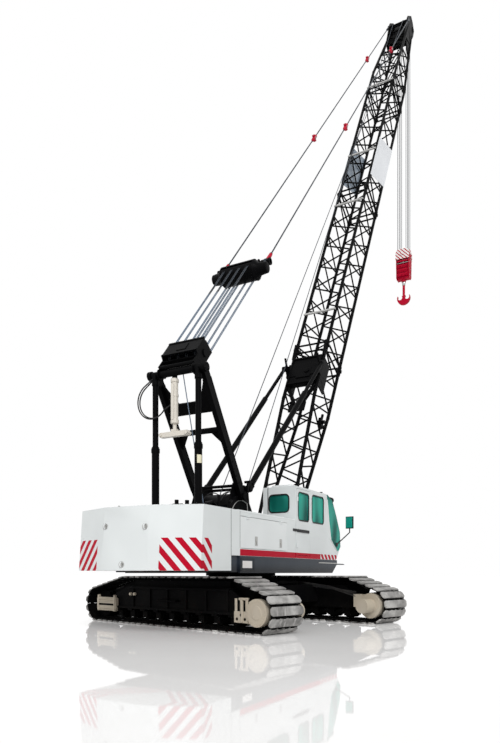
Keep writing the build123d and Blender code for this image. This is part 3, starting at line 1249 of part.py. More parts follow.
HOOK_CENTRE = HOOK_BOTTOM + HOOK_OUTER
with BuildPart() as hook:
    with BuildSketch(Plane(origin=(HEAD_PIN.X - HOOK_THICK / 2, 0, 0), x_dir=(0, 1, 0),
                           z_dir=(1, 0, 0))):
        with Locations((0, HOOK_CENTRE)):
            Circle(HOOK_OUTER)
        with Locations((0, HOOK_CENTRE + HOOK_OUTER)):
            Rectangle(2 * HOOK_OUTER, 2 * HOOK_OUTER - 200, mode=Mode.SUBTRACT)
        for sign in (-1, 1):
            with Locations((sign * HOOK_THROAT_Y, HOOK_CENTRE + 30)):
                Circle(HOOK_THROAT_RADIUS, mode=Mode.SUBTRACT)
            with Locations((sign * (HOOK_THROAT_Y + 10), HOOK_CENTRE + 30 + HOOK_THROAT_RADIUS)):
                Rectangle(2 * HOOK_THROAT_RADIUS - 40, 2 * HOOK_THROAT_RADIUS, mode=Mode.SUBTRACT)
    extrude(amount=HOOK_THICK)
    add(drop(HEAD_PIN.X, 0, HOOK_CENTRE - 60, BLOCK_BOTTOM + 250, HOOK_SHANK_RADIUS))
    add(drop(HEAD_PIN.X, 0, BLOCK_BOTTOM - 90, BLOCK_BOTTOM - GAP, 95))
save(hook, "hook")
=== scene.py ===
"""Dresses the lattice boom crawler crane: finishes, shoes, ropes, fittings, studio and camera.

Metres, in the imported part's frame: +X is the heading of the boom, +Y the operator's left, +Z up.
"""

import json
from math import atan2, cos, hypot, pi, radians, sin

import bmesh
import bpy
from bpy.props import FloatProperty, FloatVectorProperty, IntProperty, PointerProperty
from mathutils import Matrix, Vector


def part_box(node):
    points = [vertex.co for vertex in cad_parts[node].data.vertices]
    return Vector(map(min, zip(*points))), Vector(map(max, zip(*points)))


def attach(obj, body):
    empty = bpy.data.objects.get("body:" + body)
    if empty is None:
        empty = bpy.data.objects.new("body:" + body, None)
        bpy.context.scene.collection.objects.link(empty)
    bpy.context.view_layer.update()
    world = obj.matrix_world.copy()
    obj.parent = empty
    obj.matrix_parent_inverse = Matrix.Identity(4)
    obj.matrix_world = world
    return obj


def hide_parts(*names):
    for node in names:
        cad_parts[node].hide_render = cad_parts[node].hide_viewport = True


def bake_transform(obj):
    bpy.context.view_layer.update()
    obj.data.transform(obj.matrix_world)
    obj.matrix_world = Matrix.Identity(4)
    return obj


bl_info = {
    "name": "Crawler crane dressing",
    "version": (1, 0, 0),
    "blender": (4, 5, 0),
    "location": "View3D > Sidebar > Crane",
    "description": "Finishes and fittings for a lattice boom crawler crane",
    "category": "Object",
}

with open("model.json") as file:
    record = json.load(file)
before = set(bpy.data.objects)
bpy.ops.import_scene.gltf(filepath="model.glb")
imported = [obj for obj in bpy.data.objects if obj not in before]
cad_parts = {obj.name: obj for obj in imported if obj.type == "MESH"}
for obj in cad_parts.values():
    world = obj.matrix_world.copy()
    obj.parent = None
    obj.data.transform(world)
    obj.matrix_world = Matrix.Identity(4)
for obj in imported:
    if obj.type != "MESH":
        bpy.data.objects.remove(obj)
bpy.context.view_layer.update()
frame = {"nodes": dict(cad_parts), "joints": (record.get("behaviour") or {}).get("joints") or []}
NODES = frame["nodes"]
JOINTS = {joint["name"]: joint for joint in frame["joints"]}

# ---------------------------------------------------------------- places and sizes
WORLD = Matrix()
FORWARD = Vector((1, 0, 0))
LEFT = Vector((0, 1, 0))
UP = Vector((0, 0, 1))
SIDES = (-1, 1)

BASE_TURN = radians(-15.4)          # heading of the crawler base under the upper works
GAUGE = 3.77                        # between the belts' middles
SHOE_WIDTH = 0.914
TRACK_LENGTH = 6.49
TRACK_TOP = 1.115                   # height of the belt's top run
END_RADIUS = 0.425                  # belt round its end wheels
TOP_FRONT = 1.64                    # where the belt's top run starts to slope down
TOP_REAR = 2.07
SHOE_PITCH = 0.236
WHEEL_Y = TRACK_LENGTH / 2 - END_RADIUS
FRAME_HALF = 0.3                    # half width of a side frame
DRIVE_FACE = 0.437                  # final drive's outer face from the belt's middle

SIDE_Y = 1.48                       # outer face of house and cab
HOUSE_TOP = 2.43
DECK_EDGE = 2.631                   # front of the black deck, where the slate step starts
CW_REAR = -4.18
CW_SHOULDER = -3.82                 # where the counterweight's side facets start
CW_FRONT = -2.87
CW_TOP = 2.44
CW_BOTTOM = 1.23
CW_LEAN = 0.1                       # its rear face leans by this from top to bottom
SEAM = 0.006                        # half width of a seam between panels
SCREEN_Y = -1.0425                  # middle of the front screen
WALKWAY_Y = 0.83

BOOM_FOOT = Vector(JOINTS["luff"]["pos_m"])
BOOM_ANGLE = radians(61.87)
BOOM_HALF_DEPTH = 0.555
BOOM_HALF_WIDTH = 0.5
JOINT_STATIONS = (6.9, 14.5, 21.0)  # along the boom, where sections are pinned together
HEAD_PIN = (26.65, -0.2)            # along the boom and square to it
FALL_LANES = (-0.22, -0.152, 0.152, 0.22)
OUTER_LANE = FALL_LANES[-1]
BLOCK_Z = 15.15                     # the hook block's sheave pin
GROOVE = 0.18                       # radius to the bottom of a sheave's groove
ROPE_RADIUS = 0.011
FALL_OFFSET = GROOVE + ROPE_RADIUS + 0.0003

HEAD = Vector(JOINTS["bail_swing"]["pos_m"])
BRIDLE = Vector((-0.02, 0, 8.52))
BRIDLE_REACH = (BRIDLE - HEAD).length
BAIL_PIN = 0.56
GREASED_END = 1.15                  # length of black rope up to the bridle's sheaves
GROOVE_STEP = 0.04                  # between the two grooves of a bail or bridle sheave
ROPE_LANES = [lane + side * GROOVE_STEP / 2 for lane in (-0.33, -0.11, 0.11, 0.33)
              for side in SIDES]

DRUMS = (  # body, x, z, barrel radius, radius of the wound rope
    ("boom_hoist_drum", -2.02, 2.29, 0.25, 0.345),
    ("main_drum", -0.86, 2.39, 0.33, 0.52),
    ("front_drum", 0.33, 2.06, 0.27, 0.39))
DRUM_HALF = 0.434
DRUM_FLANGE = 0.04
PLATE_FACE = 0.505                  # outer face of a winch frame plate
COVER_RADIUS = 0.672                # pipes over the main drum's curved cover


def axes(origin, along, across=LEFT):
    """Matrix whose local x runs along, y across and z square to both."""
    along = Vector(along).normalized()
    square = along.cross(Vector(across)).normalized()
    across = square.cross(along)
    return Matrix.Translation(origin) @ Matrix((along, across, square)).transposed().to_4x4()


BASE = axes(Vector(), (cos(BASE_TURN), sin(BASE_TURN), 0), (-sin(BASE_TURN), cos(BASE_TURN), 0))
BOOM = axes(BOOM_FOOT, (cos(BOOM_ANGLE), 0, sin(BOOM_ANGLE)))
LINE = axes(HEAD, BRIDLE - HEAD)
LEG_FOOT = Vector((-0.96, 0, 2.93))
LEG_TOP = Vector((-2.505, 0, 5.41))
LEG = axes(LEG_FOOT, LEG_TOP - LEG_FOOT)
RIGHT_WALL = axes((0, -SIDE_Y, 0), FORWARD, UP)
PIN = BOOM @ Vector((HEAD_PIN[0], 0, HEAD_PIN[1]))

FINISHES = {}
SLOTS = {finish: slot for slot, finishes in (
    ("white_paint", ("white", "striped", "chevrons", "cream")),
    ("slate_paint", ("deck",)),
    ("black_paint", ("black", "black_dusty")),
    ("black_plastic", ("rubber", "cloth")),
    ("tan_paint", ("tan",)),
    ("red_paint", ("red", "red_striped")),
    ("panel_white", ("plate", "label", "lens")),
    ("tinted_glass", ("glass", "film")),
    ("shoe_steel", ("shoes", "bare")),
    ("rope_steel", ("rope", "greased"))) for finish in finishes}


# ---------------------------------------------------------------- modelling helpers
def linked(name, data):
    """A new object in the scene."""
    made = bpy.data.objects.new(name, data)
    bpy.context.scene.collection.objects.link(made)
    return made


def new_verts(result):
    """The vertices among what a mesh operation made."""
    return [item for item in result["geom"] if isinstance(item, bmesh.types.BMVert)]


def facing(start, axis):
    """Matrix at start whose local z points along an axis."""
    return Matrix.Translation(start) @ axis.to_track_quat("Z", "Y").to_matrix().to_4x4()


class Shape:
    """A mesh in the making; points and directions are given in the axes of its place."""

    def __init__(self, place=WORLD):
        self.bm = bmesh.new()
        self.place = place

    def at(self, point):
        """A point in the world."""
        return self.place @ Vector(point)

    def way(self, direction):
        """A direction in the world, with its length kept."""
        return self.place.to_3x3() @ Vector(direction)

    def box(self, low, high, bevel=0.0, place=WORLD):
        """A box between two opposite corners, with eased edges."""
        low, high = Vector(low), Vector(high)
        size = [abs(span) for span in high - low]
        matrix = Matrix.Translation((low + high) / 2) @ Matrix.Diagonal((*size, 1))
        verts = bmesh.ops.create_cube(self.bm, size=1.0, matrix=matrix)["verts"]
        if bevel:
            edges = list({edge for vert in verts for edge in vert.link_edges})
            verts = bmesh.ops.bevel(self.bm, geom=edges, offset=bevel, offset_type="OFFSET",
                                    segments=2, profile=0.5, affect="EDGES", material=-1,
                                    clamp_overlap=True)["verts"]
        bmesh.ops.transform(self.bm, matrix=self.place @ place, verts=verts)

    def rod(self, start, end, radius, sides=16, end_radius=None):
        """A round bar, or a cone, from start to end."""
        self.bar(self.at(start), self.at(end), radius, sides, end_radius)

    def bar(self, start, end, radius, sides, end_radius=None):
        """A rod between two points of the world."""
        axis = end - start
        bmesh.ops.create_cone(self.bm, cap_ends=True, cap_tris=False, segments=sides,
                              radius1=radius, depth=axis.length,
                              radius2=radius if end_radius is None else end_radius,
                              matrix=facing((start + end) / 2, axis))

    def rods(self, points, radius, sides=16):
        """Round bars from point to point."""
        for here, there in zip(points, points[1:]):
            self.rod(here, there, radius, sides)

    def arc(self, centre, axis, out, bar, angle=2 * pi, sides=8, steps=32):
        """A round bar bent about an axis; out is where it starts, as seen from the centre."""
        centre, axis, out = self.at(centre), self.way(axis).normalized(), self.way(out)
        place = Matrix.Translation(centre + out) @ Matrix(
            (axis, out.normalized(), axis.cross(out.normalized()))).transposed().to_4x4()
        whole = abs(angle - 2 * pi) < 1e-6
        ring = bmesh.ops.create_circle(self.bm, cap_ends=not whole, segments=sides, radius=bar,
                                       matrix=place)["verts"]
        geom = ring + list({edge for vert in ring for edge in vert.link_edges})
        geom += list({face for vert in ring for face in vert.link_faces})
        bmesh.ops.spin(self.bm, geom=geom, cent=centre, axis=axis, angle=angle, steps=steps,
                       use_merge=whole, use_duplicate=False)

    def sweep(self, points, radius, sides):
        """A round bar through points that lie nearly in line."""
        ring = bmesh.ops.create_circle(self.bm, cap_ends=True, segments=sides, radius=radius,
                                       matrix=facing(points[0], points[1] - points[0]))["verts"]
        edges = list({edge for vert in ring for edge in vert.link_edges})
        for here, there in zip(points, points[1:]):
            made = bmesh.ops.extrude_edge_only(self.bm, edges=edges)
            ring = new_verts(made)
            edges = [item for item in made["geom"] if isinstance(item, bmesh.types.BMEdge)
                     and item.verts[0] in ring and item.verts[1] in ring]
            bmesh.ops.translate(self.bm, verts=ring, vec=there - here)
        bmesh.ops.contextual_create(self.bm, geom=edges)

    def thicken(self, faces, height):
        """Raises faces along z into a plate, keeping the lower side; returns the upper verts."""
        top = new_verts(bmesh.ops.extrude_face_region(self.bm, geom=faces, use_keep_orig=True))
        bmesh.ops.translate(self.bm, verts=top, vec=(0, 0, height))
        return top

    def plate(self, outline, low, high, place=WORLD):
        """A flat plate: an outline in the place's local xy, from low to high along its z."""
        verts = [self.bm.verts.new((x, y, low)) for x, y in outline]
        verts += self.thicken([self.bm.faces.new(verts)], high - low)
        bmesh.ops.transform(self.bm, matrix=self.place @ place, verts=verts)

    def lathe(self, profile, centre, axis, steps=32):
        """A turned shape with a profile of (along the axis, radius)."""
        centre, axis = self.at(centre), self.way(axis).normalized()
        out = axis.orthogonal().normalized()
        verts = [self.bm.verts.new(centre + axis * along + out * radius)
                 for along, radius in profile]
        edges = [self.bm.edges.new(pair) for pair in zip(verts, verts[1:])]
        bmesh.ops.spin(self.bm, geom=verts + edges, cent=centre, axis=axis, angle=2 * pi,
                       steps=steps, use_merge=True, use_duplicate=False)
        bmesh.ops.remove_doubles(self.bm, verts=self.bm.verts[:], dist=1e-5)

    def bolts(self, spots, axis, across_flats, height):
        """Hexagon heads at points of the world, standing out along an axis."""
        rise = self.way(axis).normalized() * height
        for spot in spots:
            self.bar(spot, spot + rise, across_flats / 2, 6, across_flats / 2 * 0.92)

    def bolt_ring(self, centre, axis, radius, count, across_flats, height):
        """Hexagon heads evenly spaced round an axis."""
        turning = self.way(axis).normalized()
        out = turning.orthogonal().normalized() * radius
        self.bolts([self.at(centre) + Matrix.Rotation(2 * pi * i / count, 3, turning) @ out
                    for i in range(count)], axis, across_flats, height)

    def sheave(self, centre):
        """A narrow rope sheave turning about a crosswise pin."""
        self.lathe(((-0.028, 0.04), (-0.028, 0.212), (-0.018, 0.212), (-0.007, GROOVE - 0.002),
                    (0.007, GROOVE - 0.002), (0.018, 0.212), (0.028, 0.212), (0.028, 0.04)),
                   centre, LEFT, steps=40)

    def stamp(self, template, place):
        """Adds a copy of a mesh, set in place by a matrix."""
        before = len(self.bm.verts)
        self.bm.from_mesh(template)
        self.bm.verts.ensure_lookup_table()
        bmesh.ops.transform(self.bm, matrix=self.place @ place, verts=self.bm.verts[before:])

    def to_mesh(self, name):
        """The finished mesh."""
        mesh = bpy.data.meshes.new(name)
        self.bm.to_mesh(mesh)
        self.bm.free()
        return mesh

    def made(self, name, finish, slot):
        """The finished object with its material."""
        bmesh.ops.recalc_face_normals(self.bm, faces=self.bm.faces[:])
        made = linked(name, self.to_mesh(name))
        made.data.materials.append(FINISHES[finish])
        slot or SLOTS[finish]
        return made

    def ride(self, name, body, finish, slot=None, replaces=(), crease=50.0):
        """Makes a piece with eased shading that rides on a body."""
        made = self.made(name, finish, slot)
        mesh = made.data
        mesh.polygons.foreach_set("use_smooth", [True] * len(mesh.polygons))
        mesh.set_sharp_from_angle(angle=radians(crease))
        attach(made, body)
        if replaces:
            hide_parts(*replaces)
        made.modifiers.new("even_faces", "WEIGHTED_NORMAL").keep_sharp = True
        return made

    def stretch(self, name, finish, first, second, start, end, replaces=()):
        """Makes a piece with its finish, hides the parts it replaces and bakes its place into its
        mesh.
        """
        made = self.made(name, finish, None)
        if replaces:
            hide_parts(*replaces)
        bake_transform(made)


def eased(node, body, finish, width, angle=28.0):
    """A copy of a CAD node whose edges are rounded, standing for that node."""
    shape = Shape()
    bm = shape.bm
    bm.from_mesh(NODES[node].data)
    bmesh.ops.remove_doubles(bm, verts=bm.verts[:], dist=1e-5)
    bmesh.ops.dissolve_limit(bm, angle_limit=radians(1.0), verts=bm.verts[:], edges=bm.edges[:])
    sharp = [edge for edge in bm.edges
             if len(edge.link_faces) == 2 and edge.calc_face_angle(0.0) > radians(angle)]
    bmesh.ops.bevel(bm, geom=sharp, offset=width, offset_type="OFFSET", segments=2, profile=0.5,
                    affect="EDGES", material=-1, clamp_overlap=True)
    bmesh.ops.triangulate(bm, faces=[face for face in bm.faces if len(face.verts) > 4])
    shape.ride(f"{node}_dressed", body, finish, replaces=(node,))


# ---------------------------------------------------------------- shader helpers
def feed(tree, socket, value):
    """Links another node's output to a socket, or sets a plain value."""
    if isinstance(value, bpy.types.NodeSocket):
        tree.links.new(value, socket)
    else:
        socket.default_value = value


def set_inputs(tree, node, **values):
    """Feeds a node's inputs by name; spaces in names are underscores."""
    for key, value in values.items():
        feed(tree, node.inputs[key.replace("_", " ")], value)
    return node


def add_node(tree, kind, **values):
    """A new shader node with its inputs fed."""
    return set_inputs(tree, tree.nodes.new(f"ShaderNode{kind}"), **values)


def group(name, inputs, outputs):
    """An empty shader node group; its sockets are given as (name, kind) or with a default."""
    tree = bpy.data.node_groups.new(name, "ShaderNodeTree")
    for direction, sockets in (("INPUT", inputs), ("OUTPUT", outputs)):
        for socket_name, kind, *default in sockets:
            socket = tree.interface.new_socket(socket_name, in_out=direction,
                                               socket_type=f"NodeSocket{kind}")
            if default:
                socket.default_value = default[0]
    return tree, tree.nodes.new("NodeGroupInput").outputs, tree.nodes.new("NodeGroupOutput")


def use_group(tree, name, **values):
    """Places a shader group and feeds its inputs."""
    node = tree.nodes.new("ShaderNodeGroup")
    node.node_tree = bpy.data.node_groups[name]
    return set_inputs(tree, node, **values)


def maths(tree, operation, *values):
    """A Math node fed by sockets or numbers; returns its output."""
    node = tree.nodes.new("ShaderNodeMath")
    node.operation = operation
    for socket, value in zip(node.inputs, values):
        feed(tree, socket, value)
    return node.outputs[0]


def mix_colour(tree, share, first, second, blend="MIX"):
    """A colour mix of two sockets or plain colours."""
    node = tree.nodes.new("ShaderNodeMix")
    node.data_type = "RGBA"
    node.blend_type = blend
    feed(tree, node.inputs[0], share)
    for value, socket in ((first, node.inputs[6]), (second, node.inputs[7])):
        plain = not isinstance(value, bpy.types.NodeSocket)
        feed(tree, socket, (*value[:3], 1.0) if plain else value)
    return node.outputs[2]


def noise(tree, place, scale, detail=3.0, stretch=None):
    """Noise of a given scale, on coordinates that may be stretched."""
    if stretch:
        place = add_node(tree, "Mapping", Vector=place, Scale=stretch).outputs["Vector"]
    return add_node(tree, "TexNoise", Vector=place, Scale=scale, Detail=detail,
                    Roughness=0.55).outputs["Fac"]


def ranged(tree, value, low, high, to_low=0.0, to_high=1.0):
    """A value mapped smoothly from one range to another, clamped."""
    node = tree.nodes.new("ShaderNodeMapRange")
    node.interpolation_type = "SMOOTHSTEP"
    for socket, number in zip(node.inputs, (value, low, high, to_low, to_high)):
        feed(tree, socket, number)
    return node.outputs[0]


def bump(tree, shader, height, distance, strength=1.0):
    """Raises a surface by a height of small distance."""
    raised = add_node(tree, "Bump", Strength=strength, Distance=distance, Height=height)
    tree.links.new(raised.outputs["Normal"], shader.inputs["Normal"])


def object_space(tree):
    """Object coordinates."""
    return tree.nodes.new("ShaderNodeTexCoord").outputs["Object"]


def coordinates(tree):
    """Object coordinates apart: along, across and up."""
    return add_node(tree, "SeparateXYZ", Vector=object_space(tree)).outputs


def inside_group():
    """1 where a value lies between two limits, else 0."""
    tree, source, sink = group("inside_limits", (
        ("Value", "Float"), ("Low", "Float"), ("High", "Float")), (("Mask", "Float"),))
    above = maths(tree, "GREATER_THAN", source["Value"], source["Low"])
    below = maths(tree, "LESS_THAN", source["Value"], source["High"])
    set_inputs(tree, sink, Mask=maths(tree, "MULTIPLY", above, below))


def inside(tree, value, low, high):
    """A mask of where a value lies between two limits."""
    return use_group(tree, "inside_limits", Value=value, Low=low, High=high).outputs["Mask"]


def weathered_group():
    """Road dust low down, rain streaks, and fine grain, for any paint."""
    tree, source, sink = group("weathered_paint", (
        ("Colour", "Color"), ("Dust", "Color", (0.45, 0.42, 0.37, 1)),
        ("Dust share", "Float", 0.3), ("Dust height", "Float", 1.5),
        ("Clean roughness", "Float", 0.3), ("Dusty roughness", "Float", 0.8),
        ("Grain", "Float", 60.0)),
        (("Colour", "Color"), ("Roughness", "Float"), ("Height", "Float")))
    place = object_space(tree)
    height = add_node(tree, "SeparateXYZ", Vector=place).outputs["Z"]
    low = ranged(tree, height, 0.0, source["Dust height"], 1.0, 0.12)
    cloud = ranged(tree, noise(tree, place, 2.3, 5.0), 0.32, 0.72)
    streak = ranged(tree, noise(tree, place, 1.6, 4.0, (7.0, 7.0, 0.5)), 0.45, 0.8)
    mask = maths(tree, "MULTIPLY", low, maths(tree, "MAXIMUM", cloud, streak))
    mask = maths(tree, "MULTIPLY", mask, source["Dust share"])
    tint = ranged(tree, noise(tree, place, 0.8, 2.0), 0.3, 0.7, 0.93, 1.0)
    shade = mix_colour(tree, 1.0, source["Colour"], tint, "MULTIPLY")
    span = maths(tree, "SUBTRACT", source["Dusty roughness"], source["Clean roughness"])
    grain = add_node(tree, "TexNoise", Vector=place, Scale=source["Grain"])
    set_inputs(tree, sink, Colour=mix_colour(tree, mask, shade, source["Dust"]),
               Roughness=maths(tree, "MULTIPLY_ADD", mask, span, source["Clean roughness"]),
               Height=grain.outputs["Fac"])


def new_material(name):
    """An empty material, its tree and its Principled shader."""
    material = bpy.data.materials.new(name)
    material.use_nodes = True
    return material, material.node_tree, material.node_tree.nodes["Principled BSDF"]


def paint(name, colour, rough=0.3, dust=(0.45, 0.42, 0.37), share=0.3, height=1.5, grain=60.0,
          bumps=0.002, metallic=0.0, coat=0.0, sheen=0.5, pattern=None):
    """A weathered paint or metal; pattern may turn the plain colour into a socket."""
    material, tree, shader = new_material(name)
    base = pattern(tree, colour) if pattern else (*colour, 1.0)
    worn = use_group(tree, "weathered_paint", Colour=base, Dust=(*dust, 1.0), Dust_share=share,
                     Dust_height=height, Clean_roughness=rough, Dusty_roughness=0.8,
                     Grain=grain).outputs
    bump(tree, shader, worn["Height"], bumps, 0.4)
    set_inputs(tree, shader, Base_Color=worn["Colour"], Roughness=worn["Roughness"],
               Metallic=metallic, Specular_IOR_Level=sheen, Coat_Weight=coat,
               Coat_Roughness=0.12)
    return material


def house_stripe(tree, colour):
    """A long red stripe low on both sides, breaking into slanted dashes at the front."""
    x, y, z = coordinates(tree)
    side = maths(tree, "GREATER_THAN", maths(tree, "ABSOLUTE", y), SIDE_Y - 0.03)
    level = inside(tree, z, 1.535, 1.665)
    lean = maths(tree, "MULTIPLY_ADD", z, 0.85, x)
    dash = maths(tree, "LESS_THAN", maths(tree, "PINGPONG", lean, 0.115), 0.072)
    dashes = maths(tree, "MULTIPLY", inside(tree, x, 1.5, 2.6), dash)
    mask = maths(tree, "MULTIPLY", maths(tree, "MAXIMUM", inside(tree, x, -2.53, 1.5), dashes),
                 maths(tree, "MULTIPLY", side, level))
    return mix_colour(tree, mask, colour, bpy.context.scene.crane_colours.stripe)


def counterweight_chevrons(tree, colour):
    """Slanted red bars on the angled rear facets, carried round onto the sides."""
    x, y, z = coordinates(tree)
    across = maths(tree, "MULTIPLY", maths(tree, "ABSOLUTE", y), 1.074)
    along = maths(tree, "MAXIMUM", maths(tree, "SUBTRACT", x, CW_SHOULDER), 0.0)
    around = maths(tree, "ADD", across, along)
    slant = maths(tree, "MULTIPLY_ADD", z, 0.9, around)
    phase = maths(tree, "FRACT", maths(tree, "MULTIPLY_ADD", slant, 1 / 0.262, -0.4))
    bars = maths(tree, "LESS_THAN", phase, 0.52)
    field = maths(tree, "MULTIPLY", inside(tree, around, 0.8, 1.86), inside(tree, z, 1.2, 1.83))
    return mix_colour(tree, maths(tree, "MULTIPLY", bars, field), colour,
                      bpy.context.scene.crane_colours.stripe)


def deck_colours(tree, colour):
    """Slate skirts, darker towards their foot by painted shade, and a slate step on a black deck.
    """
    x, y, z = coordinates(tree)
    side = maths(tree, "GREATER_THAN", maths(tree, "ABSOLUTE", y), SIDE_Y - 0.045)
    front = maths(tree, "GREATER_THAN", x, DECK_EDGE)
    # painted shade: the slate darkens to near black below 1.42 m, towards the skirts' foot
    slate = mix_colour(tree, ranged(tree, z, 1.2, 1.42), (0.007, 0.009, 0.013), colour)
    return mix_colour(tree, maths(tree, "MAXIMUM", side, front), (0.012, 0.012, 0.013), slate)


def panel_colours(tree, colour):
    """The right hand panel is white, the left hand one blue grey."""
    _, y, _ = coordinates(tree)
    return mix_colour(tree, maths(tree, "GREATER_THAN", y, 0.0), colour, (0.3, 0.36, 0.43))


def block_stripes(tree, colour):
    """White diagonal bars at the top of the hook block."""
    x, y, z = coordinates(tree)
    slant = maths(tree, "SUBTRACT", maths(tree, "SUBTRACT", z, x), y)
    bars = maths(tree, "LESS_THAN", maths(tree, "PINGPONG", slant, 0.075), 0.046)
    mask = maths(tree, "MULTIPLY", bars, maths(tree, "GREATER_THAN", z, 15.03))
    return mix_colour(tree, mask, colour, (0.78, 0.78, 0.76))


def rope_finish(name, valley, crown):
    """Wire rope with a twisted lay, dark in its valleys and lighter on its crowns."""
    material, tree, shader = new_material(name)
    place = object_space(tree)
    lay = add_node(tree, "TexWave", Vector=place, Scale=22.0, Distortion=0.4)
    lay.bands_direction = "DIAGONAL"
    blotch = ranged(tree, noise(tree, place, 1.4), 0.35, 0.7)
    colour = mix_colour(tree, ranged(tree, lay.outputs["Fac"], 0.0, 1.0), valley, crown)
    bump(tree, shader, lay.outputs["Fac"], 0.002, 0.8)
    set_inputs(tree, shader, Metallic=0.25,
               Base_Color=mix_colour(tree, maths(tree, "MULTIPLY", blotch, 0.35), colour, crown),
               Roughness=ranged(tree, blotch, 0.0, 1.0, 0.38, 0.55))
    return material


def glass_finish():
    """Green tinted cab glass, mottled dark and light teal as painted reflection and painted shade,
    its roughness varying a little.
    """
    material, tree, shader = new_material("tinted_glass")
    # painted reflection and painted shade: film is a slow noise that mixes a dark teal and the
    # light tint into the colour, and varies the roughness
    film = ranged(tree, noise(tree, object_space(tree), 1.2, 0.5, (1.8, 1.8, 0.7)), 0.3, 0.62)
    tint = bpy.context.scene.crane_colours.glass
    set_inputs(tree, shader, Base_Color=mix_colour(tree, film, (0.008, 0.15, 0.122), tint),
               Roughness=ranged(tree, film, 0.0, 1.0, 0.02, 0.06), Transmission_Weight=0.45,
               IOR=1.1)
    return material


def seat_cloth():
    """Ribbed grey seat cloth."""
    material, tree, shader = new_material("seat_cloth")
    weave = add_node(tree, "TexWave", Vector=object_space(tree), Scale=40.0)
    weave.bands_direction = "Y"
    ribs = weave.outputs["Fac"]
    set_inputs(tree, shader, Roughness=0.9,
               Base_Color=mix_colour(tree, ribs, (0.035, 0.037, 0.042), (0.085, 0.09, 0.1)))
    bump(tree, shader, ribs, 0.002)
    return material


WHITE_WEAR = {"rough": 0.36, "share": 0.03, "height": 2.2, "sheen": 0.05}
RED_WEAR = {"rough": 0.36, "share": 0.04, "height": 16.0, "sheen": 0.06, "dust": (0.2, 0.04, 0.05)}
PAINTS = (  # finish, material, colour or the setting that holds it, how it wears
    ("white", "white_gloss", "body", dict(rough=0.28, share=0.1, height=2.2, coat=0.3)),
    ("striped", "white_with_stripe", "body", dict(WHITE_WEAR, pattern=house_stripe)),
    ("chevrons", "white_with_chevrons", "body",
     dict(WHITE_WEAR, height=2.4, pattern=counterweight_chevrons)),
    ("deck", "slate_skirt", "skirt",
     dict(rough=0.22, share=0.04, height=1.9, sheen=0.1, pattern=deck_colours)),
    ("black", "black_gloss", "frame",
     dict(rough=0.42, share=0.02, height=4.0, sheen=0.03, dust=(0.05, 0.05, 0.05))),
    ("black_dusty", "black_dusty", "frame",
     dict(rough=0.55, share=0.06, height=1.1, dust=(0.08, 0.07, 0.055), grain=35.0, sheen=0.02)),
    ("tan", "tan_dusty", "drives",
     dict(rough=0.55, share=0.45, height=1.2, dust=(0.5, 0.46, 0.4), grain=25.0, bumps=0.004)),
    ("cream", "cream_satin", (0.66, 0.62, 0.55),
     dict(rough=0.4, share=0.15, height=6.0, dust=(0.35, 0.3, 0.24))),
    ("shoes", "worn_shoes", (0.13, 0.125, 0.12),
     dict(rough=0.5, share=0.9, height=2.6, dust=(0.6, 0.59, 0.57), grain=70.0, bumps=0.012)),
    ("red", "signal_red", "hook", RED_WEAR),
    ("red_striped", "signal_red_striped", "hook", dict(RED_WEAR, pattern=block_stripes)),
    ("panels", "blank_panels", (0.74, 0.76, 0.79),
     dict(rough=0.4, share=0.1, height=17.0, pattern=panel_colours)),
    ("label", "blank_label", (0.7, 0.66, 0.48), dict(rough=0.5, share=0.2, height=4.0)),
    ("plate", "blank_plate", (0.72, 0.7, 0.68), dict(rough=0.45, share=0.2, height=2.0)),
    ("bare", "bare_steel", (0.42, 0.42, 0.41), dict(share=0.3, height=3.0, metallic=0.8)),
    ("rubber", "black_rubber", (0.008, 0.008, 0.009),
     dict(rough=0.5, share=0.05, height=3.0, grain=120.0, sheen=0.2)),
    ("lens", "lamp_lens", (0.62, 0.64, 0.66),
     dict(rough=0.08, share=0.05, height=3.0, coat=1.0, metallic=0.6)),
    ("engine", "cast_engine", (0.06, 0.065, 0.07),
     dict(rough=0.6, share=0.4, height=3.0, grain=40.0, bumps=0.006)),
    # film: teal backing sheet; behind the front side glass it is painted shade of the cab's inside
    ("film", "screen_backing", (0.01, 0.3, 0.235), dict(rough=0.25, share=0.05, height=3.0)))


def make_finishes():
    """Makes every finish and keeps it by name."""
    inside_group()
    weathered_group()
    settings = bpy.context.scene.crane_colours
    for finish, name, colour, wear in PAINTS:
        plain = tuple(getattr(settings, colour)) if isinstance(colour, str) else colour
        FINISHES[finish] = paint(name, plain, **wear)
    FINISHES["rope"] = rope_finish("wire_rope", (0.105, 0.14, 0.19), (0.15, 0.2, 0.27))
    FINISHES["greased"] = rope_finish("greased_rope", (0.01, 0.015, 0.022), (0.022, 0.03, 0.042))
    FINISHES["glass"] = glass_finish()
    FINISHES["cloth"] = seat_cloth()


